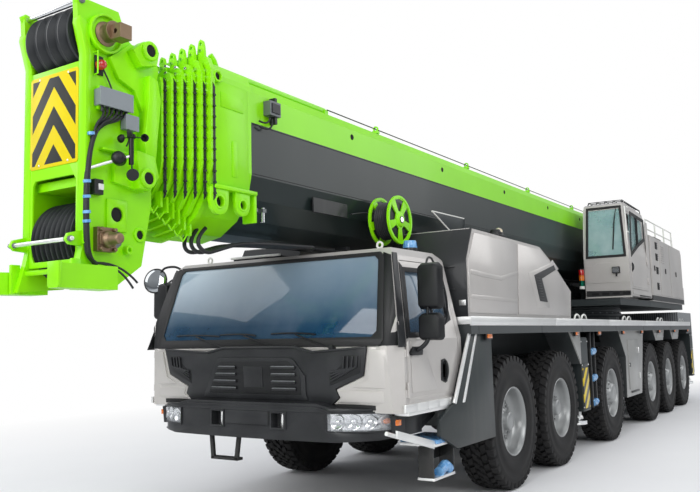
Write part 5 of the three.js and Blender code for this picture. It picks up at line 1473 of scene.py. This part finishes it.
# wind sensor: three cups on short arms round an upright hub; a second hub below it
kit += [rod((END + 0.646, 0.44, -0.16), (END + 0.646, 0.44, 0.02), 0.017, deep_black, 20),
        rod((END + 0.646, 0.44, 0.02), (END + 0.646, 0.44, 0.045), 0.028, deep_black, 20)]
for k in range(3):
    a = 2 * math.pi * k / 3 + 0.6
    c, s = math.cos(a), math.sin(a)
    cup = (END + 0.646 + 0.088 * c, 0.44 + 0.088 * s, 0.03)
    kit += [rod((END + 0.646, 0.44, 0.03), cup, 0.004, deep_black, 8),
            turned([(0.0, 0.03), (0.016, 0.026), (0.028, 0.012), (0.031, 0.0), (0.027, 0.0), (0.014, 0.018),
                    (0.0, 0.022)], cup, (-s, c, 0), deep_black, 20)]
kit += [tube([(END + 0.89, 0.325, -0.205), (END + 0.8, 0.36, -0.165), (END + 0.7, 0.4, -0.125),
              (END + 0.646, 0.44, -0.1)], 0.011, aluminium, False),
        turned([(0.0, -0.06), (0.038, -0.055), (0.046, -0.02), (0.046, 0.03), (0.03, 0.05), (0.0, 0.055)],
               (END + 0.715, 0.4, -0.125), (0.8, 0.6, 0), deep_black, 24),
        rod((END + 0.65, 0.45, -0.235), (END + 0.65, 0.45, -0.15), 0.006, deep_black, 8),
        turned([(0.0, -0.012), (0.04, -0.012), (0.04, 0.012), (0.0, 0.012)], (END + 0.66, 0.47, -0.235),
               (0.5, 0.86, 0), deep_black, 24)]
kit += [block((END + 0.775, 0.302, 0.44), (END + 0.845, 0.312, 0.57), satin_black),
        tube([(END + 0.85, 0.31, 0.43), (END + 0.86, 0.36, 0.43), (END + 0.86, 0.36, 0.58),
              (END + 0.85, 0.31, 0.58)], 0.006, lime_enamel, False),
        turned([(0.0, 0.0), (0.034, 0.0), (0.036, 0.025), (0.026, 0.05), (0.0, 0.058)],
               (END + 0.81, 0.312, 0.505), (0, 1, 0), red_lens, 24)]
for k in range(6):
    y, drop = 0.318 + 0.011 * (k % 3), 0.012 * (k // 3)
    kit.append(tube([(END + 0.62 + 0.035 * k, 0.34, 0.2), (END + 0.67 + 0.03 * k, y + 0.03, 0.15 - drop),
                     (END + 0.8 + 0.012 * k, y + 0.012, 0.1), (END + 0.875 + drop * 0.5, y, -0.02),
                     (END + 0.9 + drop, y, -0.15),
                     (END + 0.915 + drop, y, -0.4), (END + 0.908 + drop, y, -0.7),
                     (END + 0.885 + drop, y, -0.8), (END + 0.84, y, -0.835 + drop)], 0.0085, matt_black))
for z in (0.02, -0.3, -0.4, -0.5, -0.56):
    kit.append(turned([(0.012, -0.01), (0.026, -0.01), (0.026, 0.01), (0.012, 0.01)],
                      (END + (0.886 if z > -0.2 else 0.915), 0.33, z), (0.1, 0, 1), blue_film, 16))
kit.append(tube([(END + 0.8, 0.33, 0.49), (END + 0.74, 0.325, 0.42), (END + 0.72, 0.33, 0.36)], 0.006,
                matt_black))
kit.append(tube([(END + 0.57, 0.34, 0.1), (END + 0.6, 0.37, 0.02), (END + 0.66, 0.41, -0.03)], 0.006,
                matt_black))
fitted("head_fittings", kit, "boom_head", 0.002, base=BOOM, segments=1)

# Two spare cable ends hang free from the foot of the bundle.
for number, bend, tip in (
        (1, (END + 0.68, 0.37, -0.81), (END + 0.555, 0.4, -0.945)),
                          (2, (END + 0.7, 0.39, -0.83), (END + 0.61, 0.42, -0.985))):
    start = Vector((END + 0.84, 0.335, -0.822))
    run = []
    for k in range(25):
        t = k / 24
        run.append(start * (1 - t) ** 2 + Vector(bend) * 2 * t * (1 - t) + Vector(tip) * t ** 2)
    loose = fitted("loose_cable_" + str(number), [tube(run, 0.0075, matt_black, False)], "boom_head",
                   0, base=BOOM)
    path = [BOOM @ point for point in run]
    length = sum((b - a).length for a, b in zip(path, path[1:]))

# ---- Superstructure: turntable and platform ----
# A dark steel turntable on a bolted slewing ring, with grey decking and the winch rope wound on its drum.
SLEW_X, WINCH_X, WINCH_Z = -6.6, -10.26, 2.52
ring_bits = [turned([(0.84, 1.845), (0.98, 1.845), (0.99, 1.86), (0.99, 1.9), (0.96, 1.905), (0.96, 1.935),
                     (0.985, 1.94),
                     (0.985, 1.985), (0.84, 1.985)], (SLEW_X, 0, 0), (0, 0, 1), dark_enamel, 96),
             turned([(0.86, 1.986), (0.965, 1.986), (0.965, 2.015), (0.86, 2.015)], (SLEW_X, 0, 0),
                    (0, 0, 1),
                    dark_enamel, 96)]
ring_bits += bolts(40, "XY", (SLEW_X, 0), 0.965, 1.895, 1.925, 0.016, iron)
fitted("slewing_ring_bolts", ring_bits, "superstructure", 0.002)

wound = [(0.0, -0.465), (0.209, -0.465)]
for k in range(38):
    y = -0.462 + 0.0243 * k
    wound += [(0.214, y + 0.001), (0.226, y + 0.008), (0.226, y + 0.016), (0.214, y + 0.023)]
wound += [(0.209, 0.465), (0.0, 0.465)]
rope_steel = metal("rope_steel", colour(92, 94, 95), 0.45, (8, 90, 8), 12)
drum = [turned(wound, (WINCH_X, 0, WINCH_Z), (0, 1, 0), rope_steel, 56)]
for y in (-0.485, 0.485):
    drum.append(turned([(0.06, -0.015), (0.285, -0.015), (0.291, -0.008), (0.291, 0.008), (0.285, 0.015),
                        (0.06, 0.015)], (WINCH_X, y, WINCH_Z), (0, 1, 0), dark_enamel, 56))
    drum += bolts(8, "XZ", (WINCH_X, WINCH_Z), 0.245, y - 0.022, y + 0.022, 0.014, iron)
drum.append(rod((WINCH_X, -0.65, WINCH_Z), (WINCH_X, 0.65, WINCH_Z), 0.059, iron, 32))
fitted("winch_drum_rope", drum, "winch_drum", 0, base=CRANE, stands_for=("winch_drum",))

# Lift cylinder gland, pin caps and oil pipes.
FOOT_X, LIFT_Z, EYE_X, EYE_Z, GLAND_BACK = -7.15, 2.32, -3.45, 2.29, 0.35
angle = -math.atan2(EYE_Z - LIFT_Z, EYE_X - FOOT_X)
LIFT = Matrix.Translation((AXLE_1 + FOOT_X, 0, LIFT_Z)) @ Matrix.Rotation(angle, 4, "Y")
barrel_end = math.hypot(EYE_X - FOOT_X, EYE_Z - LIFT_Z) - GLAND_BACK
gland = [turned([(0.1, 0.0), (0.15, 0.0), (0.168, -0.02), (0.168, -0.1), (0.16, -0.11), (0.16, -0.13),
                 (0.1, -0.13)], (barrel_end + 0.012, 0, 0), (1, 0, 0), dark_enamel, 48),
         turned([(0.1605, -0.02), (0.172, -0.02), (0.172, 0.03), (0.1605, 0.03)], (0.4, 0, 0), (1, 0, 0),
                dark_enamel, 48),
         tube([(0.45, 0.1, 0.14), (0.46, 0.11, 0.185), (1.5, 0.11, 0.185), (2.9, 0.11, 0.185),
               (3.05, 0.1, 0.14)], 0.016, iron, False)]
gland += bolts(12, "YZ", (0, 0), 0.135, barrel_end + 0.008, barrel_end + 0.024, 0.012, iron)
fitted("lift_cylinder_gland", gland, "lift_cylinder", 0.002, base=LIFT)

# ---- Operator's cab ----
# Silver sheet-metal cab with a large green-tinted front glass.
# White grab rails stand at its front edges and a mesh guard lies over the roof.
clear_glass, wire = blank("clear_glass")
smear = noise(wire, 3, 5).ramp(0.4, 0.8)
clear_glass = surface(clear_glass, {"Base Color": smear.mix(colour(170, 215, 215), colour(205, 232, 230)),
                                    "Roughness": 0.03,
                                    "Alpha": smear * 0.08 + 0.36, "Coat Weight": 0.7})
shell_bits = [
    hollow(plate("YZ", [(0.735, 2.825), (1.405, 2.825), (1.335, 3.715), (0.75, 3.715)], -5.515, -5.48,
                 black_rubber),
           plate("YZ", [(0.775, 2.865), (1.365, 2.865), (1.3, 3.675), (0.785, 3.675)], -6, -5,
                 black_rubber)),
    plate("YZ", [(0.77, 2.86), (1.37, 2.86), (1.305, 3.68), (0.78, 3.68)], -5.507, -5.5, clear_glass)]
for part in shell_bits:
    for vertex in part.data.vertices:
        vertex.co.x -= 0.1413 * max(vertex.co.z - 2.82, 0) + 0.004
# lower front panel: a folded silver sheet with a stepped crease, and the dark slotted strip below it
creased = plate("YZ", [(0.72, 2.4), (1.43, 2.4), (1.43, 2.7), (1.28, 2.7), (1.24, 2.74), (0.92, 2.74),
                       (0.88, 2.7), (0.72, 2.7)], -5.535, -5.507, silver_enamel)
for vertex in creased.data.vertices:
    vertex.co.x += 0.0615 * min(vertex.co.z - 2.82, 0) + 0.014
shell_bits += [
    creased,
    plate("YZ", [(0.705, 2.175), (1.435, 2.175), (1.435, 2.255), (0.705, 2.275)], -5.56, -5.528,
          satin_black),
    slab("YZ", (0.69, 2.145), (1.445, 2.17), -5.6, -5.515,
          silver_enamel)]
# The strip's slots are near-black blocks of painted shade.
for y in [0.8 + 0.17 * k for k in range(4)]:
    shell_bits.append(block((-5.545, y, 2.2), (-5.52, y + 0.12, 2.235), hole_shade_and_joint_black))
shell_bits += [
    # work lamp on its bracket and the stack of load lamps
    block((-5.5, 1.17, 2.555), (-5.44, 1.29, 2.66), deep_black),
               block((-5.442, 1.18, 2.565), (-5.434, 1.28, 2.65), clear_lens),
    rod((-5.48, 1.23, 2.5), (-5.48, 1.23, 2.56), 0.014, deep_black),
    rod((-5.46, 0.655, 2.31), (-5.46, 0.655, 2.36), 0.044, white_enamel, 24),
    rod((-5.46, 0.655, 2.36), (-5.46, 0.655, 2.45), 0.046,
        metal("green_lens", colour(20, 90, 70), 0.3, (1, 1, 1), 8), 24),
    rod((-5.46, 0.655, 2.455), (-5.46, 0.655, 2.545), 0.046, orange_lens, 24),
    rod((-5.46, 0.655, 2.55), (-5.46, 0.655, 2.64), 0.046, red_lens, 24),
    rod((-5.46, 0.655, 2.64), (-5.46, 0.655, 2.655), 0.04, satin_black, 24),
    block((-5.53, 0.64, 2.33), (-5.47, 0.7, 2.35), satin_black)]
# two-armed wiper in front of the glass
shell_bits += [tube([(-5.575, 1.26, 3.66), (-5.545, 1.22, 3.4), (-5.52, 1.2, 3.1)], 0.008, deep_black,
                    False),
               tube([(-5.555, 1.235, 3.52), (-5.525, 1.2, 3.1), (-5.51, 1.19, 2.96)], 0.01, deep_black,
                    False)]
# grab rails at the front edges and roof edge trim
for y in (0.7, 1.425):
    shell_bits.append(tube([(-5.545, y, 2.8), (-5.515, y, 2.84), (-5.6, y - (0.02 if y > 1 else 0), 3.4),
                            (-5.655, y - (0.04 if y > 1 else 0), 3.7)], 0.013, white_enamel, False))
    for z in (2.84, 3.25, 3.68):
        shell_bits.append(rod((-5.53 - 0.14 * (z - 2.82), y, z), (-5.6 - 0.14 * (z - 2.82), y, z), 0.012,
                              white_enamel))
# mesh guard over the roof
for k in range(10):
    x = -5.7 - 0.145 * k
    shell_bits.append(tube([(x, 0.76, 3.775), (x, 0.8, 3.815), (x, 1.32, 3.815), (x, 1.35, 3.775)], 0.008,
                           charcoal, False))
for y in (0.78, 0.92, 1.06, 1.2, 1.34):
    shell_bits.append(tube([(-5.66, y, 3.775), (-5.7, y, 3.818), (-7.05, y, 3.8), (-7.1, y, 3.72)], 0.008,
                           charcoal, False))
# side: rear quarter glass, panel creases and the lower skirt
shell_bits += [
    plate("XZ", [(-7.14, 2.2), (-5.66, 2.2), (-5.63, 2.265), (-7.14, 2.265)], 1.436, 1.452, silver_enamel),
    slab("XZ", (-7.05, 2.18), (-6.2, 2.195), 1.44, 1.458, satin_black),
    plate("XZ", [(-7.16, 2.72), (-6.93, 2.72), (-6.93, 3.56), (-7.1, 3.56)], 1.437, 1.447, silver_enamel)]
fitted("operator_cab_fittings", shell_bits, "superstructure", 0.003, segments=1)

door_bits = [
    plate("XZ", [(-6.79, 3.225), (-6.25, 3.07), (-5.73, 2.875), (-5.805, 3.58), (-6.79, 3.55)], 1.405, 1.412,
          clear_glass),
    hollow(plate("XZ", [(-6.83, 3.2), (-6.25, 3.03), (-5.69, 2.825), (-5.775, 3.62), (-6.83, 3.59)], 1.434,
                 1.446, black_rubber),
           plate("XZ", [(-6.77, 3.245), (-6.25, 3.095), (-5.75, 2.905), (-5.825, 3.56), (-6.77, 3.53)], 1, 2,
                 black_rubber)),
    block((-6.3, 1.4, 3.06), (-6.27, 1.446, 3.58), black_rubber),
    plate("XZ", [(-6.86, 2.33), (-5.68, 2.33), (-5.655, 2.78), (-5.75, 2.8), (-6.02, 2.56), (-6.86, 2.56)],
          1.437, 1.447, silver_enamel),
    plate("XZ", [(-5.7, 2.57), (-5.665, 2.6), (-5.665, 2.72), (-5.7, 2.74), (-5.735, 2.72),
                 (-5.735, 2.6)], 1.44, 1.452, deep_black),
    tube([(-5.7, 1.452, 2.6), (-5.7, 1.47, 2.62), (-5.7, 1.47, 2.7), (-5.7, 1.452, 2.72)], 0.009,
         deep_black)]
fitted("operator_door_trim", door_bits, "operator_door", 0.002, segments=1)

# Inside: a sprung seat with side consoles, two levers and a screen on a stalk.
inside = [
    seat("operator_seat", (-6.45, 1.06, 2.34), "superstructure"),
    block((-6.7, 0.76, 2.34), (-6.1, 0.84, 2.86), deep_black),
          block((-6.7, 1.28, 2.34), (-6.1, 1.36, 2.86), deep_black),
    rod((-6.18, 0.8, 2.86), (-6.16, 0.8, 3.02), 0.018, deep_black, 16, 0.026),
    rod((-6.18, 1.32, 2.86), (-6.16, 1.32, 3.02), 0.018, deep_black, 16, 0.026),
    tube([(-5.75, 0.8, 2.34), (-5.74, 0.8, 2.8), (-5.78, 0.84, 3.05)], 0.014, deep_black, False),
    block((-5.8, 0.78, 3.02), (-5.77, 0.98, 3.18), deep_black),
          block((-6.95, 0.76, 2.24), (-5.62, 1.38, 2.26), charcoal)]
fitted("operator_cab_inside", inside, "superstructure", 0.003, segments=1)

# ---- Machinery house ----
# Silver side doors with louvres and dark vents over a dark slotted plinth.
# White rails guard the roof walkway.
def beside(side, low, high, material):
    """A block on one side of the crane; its y counts outwards from the middle."""
    near, far = sorted((side * low[1], side * high[1]))
    return block((low[0], near, low[2]), (high[0], far, high[2]), material)


house = [beside(side, (x0, y0, 2.142), (x1, y1, 2.235), satin_black)
         for x0, x1, y0,
         y1 in ((-10.55, -7.26, 1.3, 1.448), (-7.26, -7.238, 0.8, 1.44)) for side in (1, -1)]
for side in (1, -1):
    for x0, x1 in ((-8.06, -7.3), (-9.1, -8.12), (-10.46, -9.16)):
        low, high = sorted((side * 1.438, side * 1.45))
        outline = [(x0, 2.26), (x1, 2.26), (x1, 3.33 if x1 > -9 else 3.31), (x0, 3.33 if x0 > -10 else 3.28)]
        house.append(plate("XZ", outline, low, high, silver_enamel))
    # Vent openings: near-black plates of painted shade behind the louvre slats.
    for z in (3.2, 2.98, 2.72, 2.42):
        house.append(beside(side, (-7.9, 1.442, z - 0.07), (-7.7, 1.452, z + 0.07), hole_shade_and_joint_black))
        for low in [z - 0.06 + 0.036 * k for k in range(4)]:
            house.append(beside(side, (-7.9, 1.452, low), (-7.7, 1.464, low + 0.01), satin_black))
    for z in [2.9 + 0.045 * k for k in range(8)]:
        house.append(beside(side, (-8.52, 1.448, z), (-8.18, 1.466, z + 0.018), silver_enamel))
    for x in (-7.55, -8.62, -9.75):
        house.append(beside(side, (x, 1.453, 2.7), (x + 0.04, 1.465, 2.8), deep_black))
    # roof rails
    y = side * 1.3
    for x in (-7.7, -8.6, -9.5, -10.35):
        house.append(rod((x, y, 3.3), (x, y, 3.72), 0.014, white_enamel, 12))
    for z in (3.54, 3.72):
        house.append(tube([(-7.62, y, 3.4), (-7.7, y, z), (-10.35, y, z), (-10.42, y, 3.28)], 0.014,
                          white_enamel, False))
    for k in range(7):
        house.append(block((-8.5 + 0.11 * k, side * 1.4 - 0.02, 3.362),
                           (-8.44 + 0.11 * k, side * 1.4 + 0.02, 3.38), satin_black))
for k in range(5):
    house.append(block((-7.45 - 0.55 * k, 0.8, 3.355), (-7.05 - 0.55 * k - 0.4, 1.24, 3.368), charcoal))
house.append(block((-10.648, -1.3, 2.2), (-10.632, 1.3, 2.46), hazard_board[1]))
for y in (-0.9, 0.9):
    house.append(block((-10.652, y - 0.16, 2.24), (-10.64, y + 0.16, 2.42), red_lens))
fitted("machinery_house_doors", house, "superstructure", 0.003, segments=1)
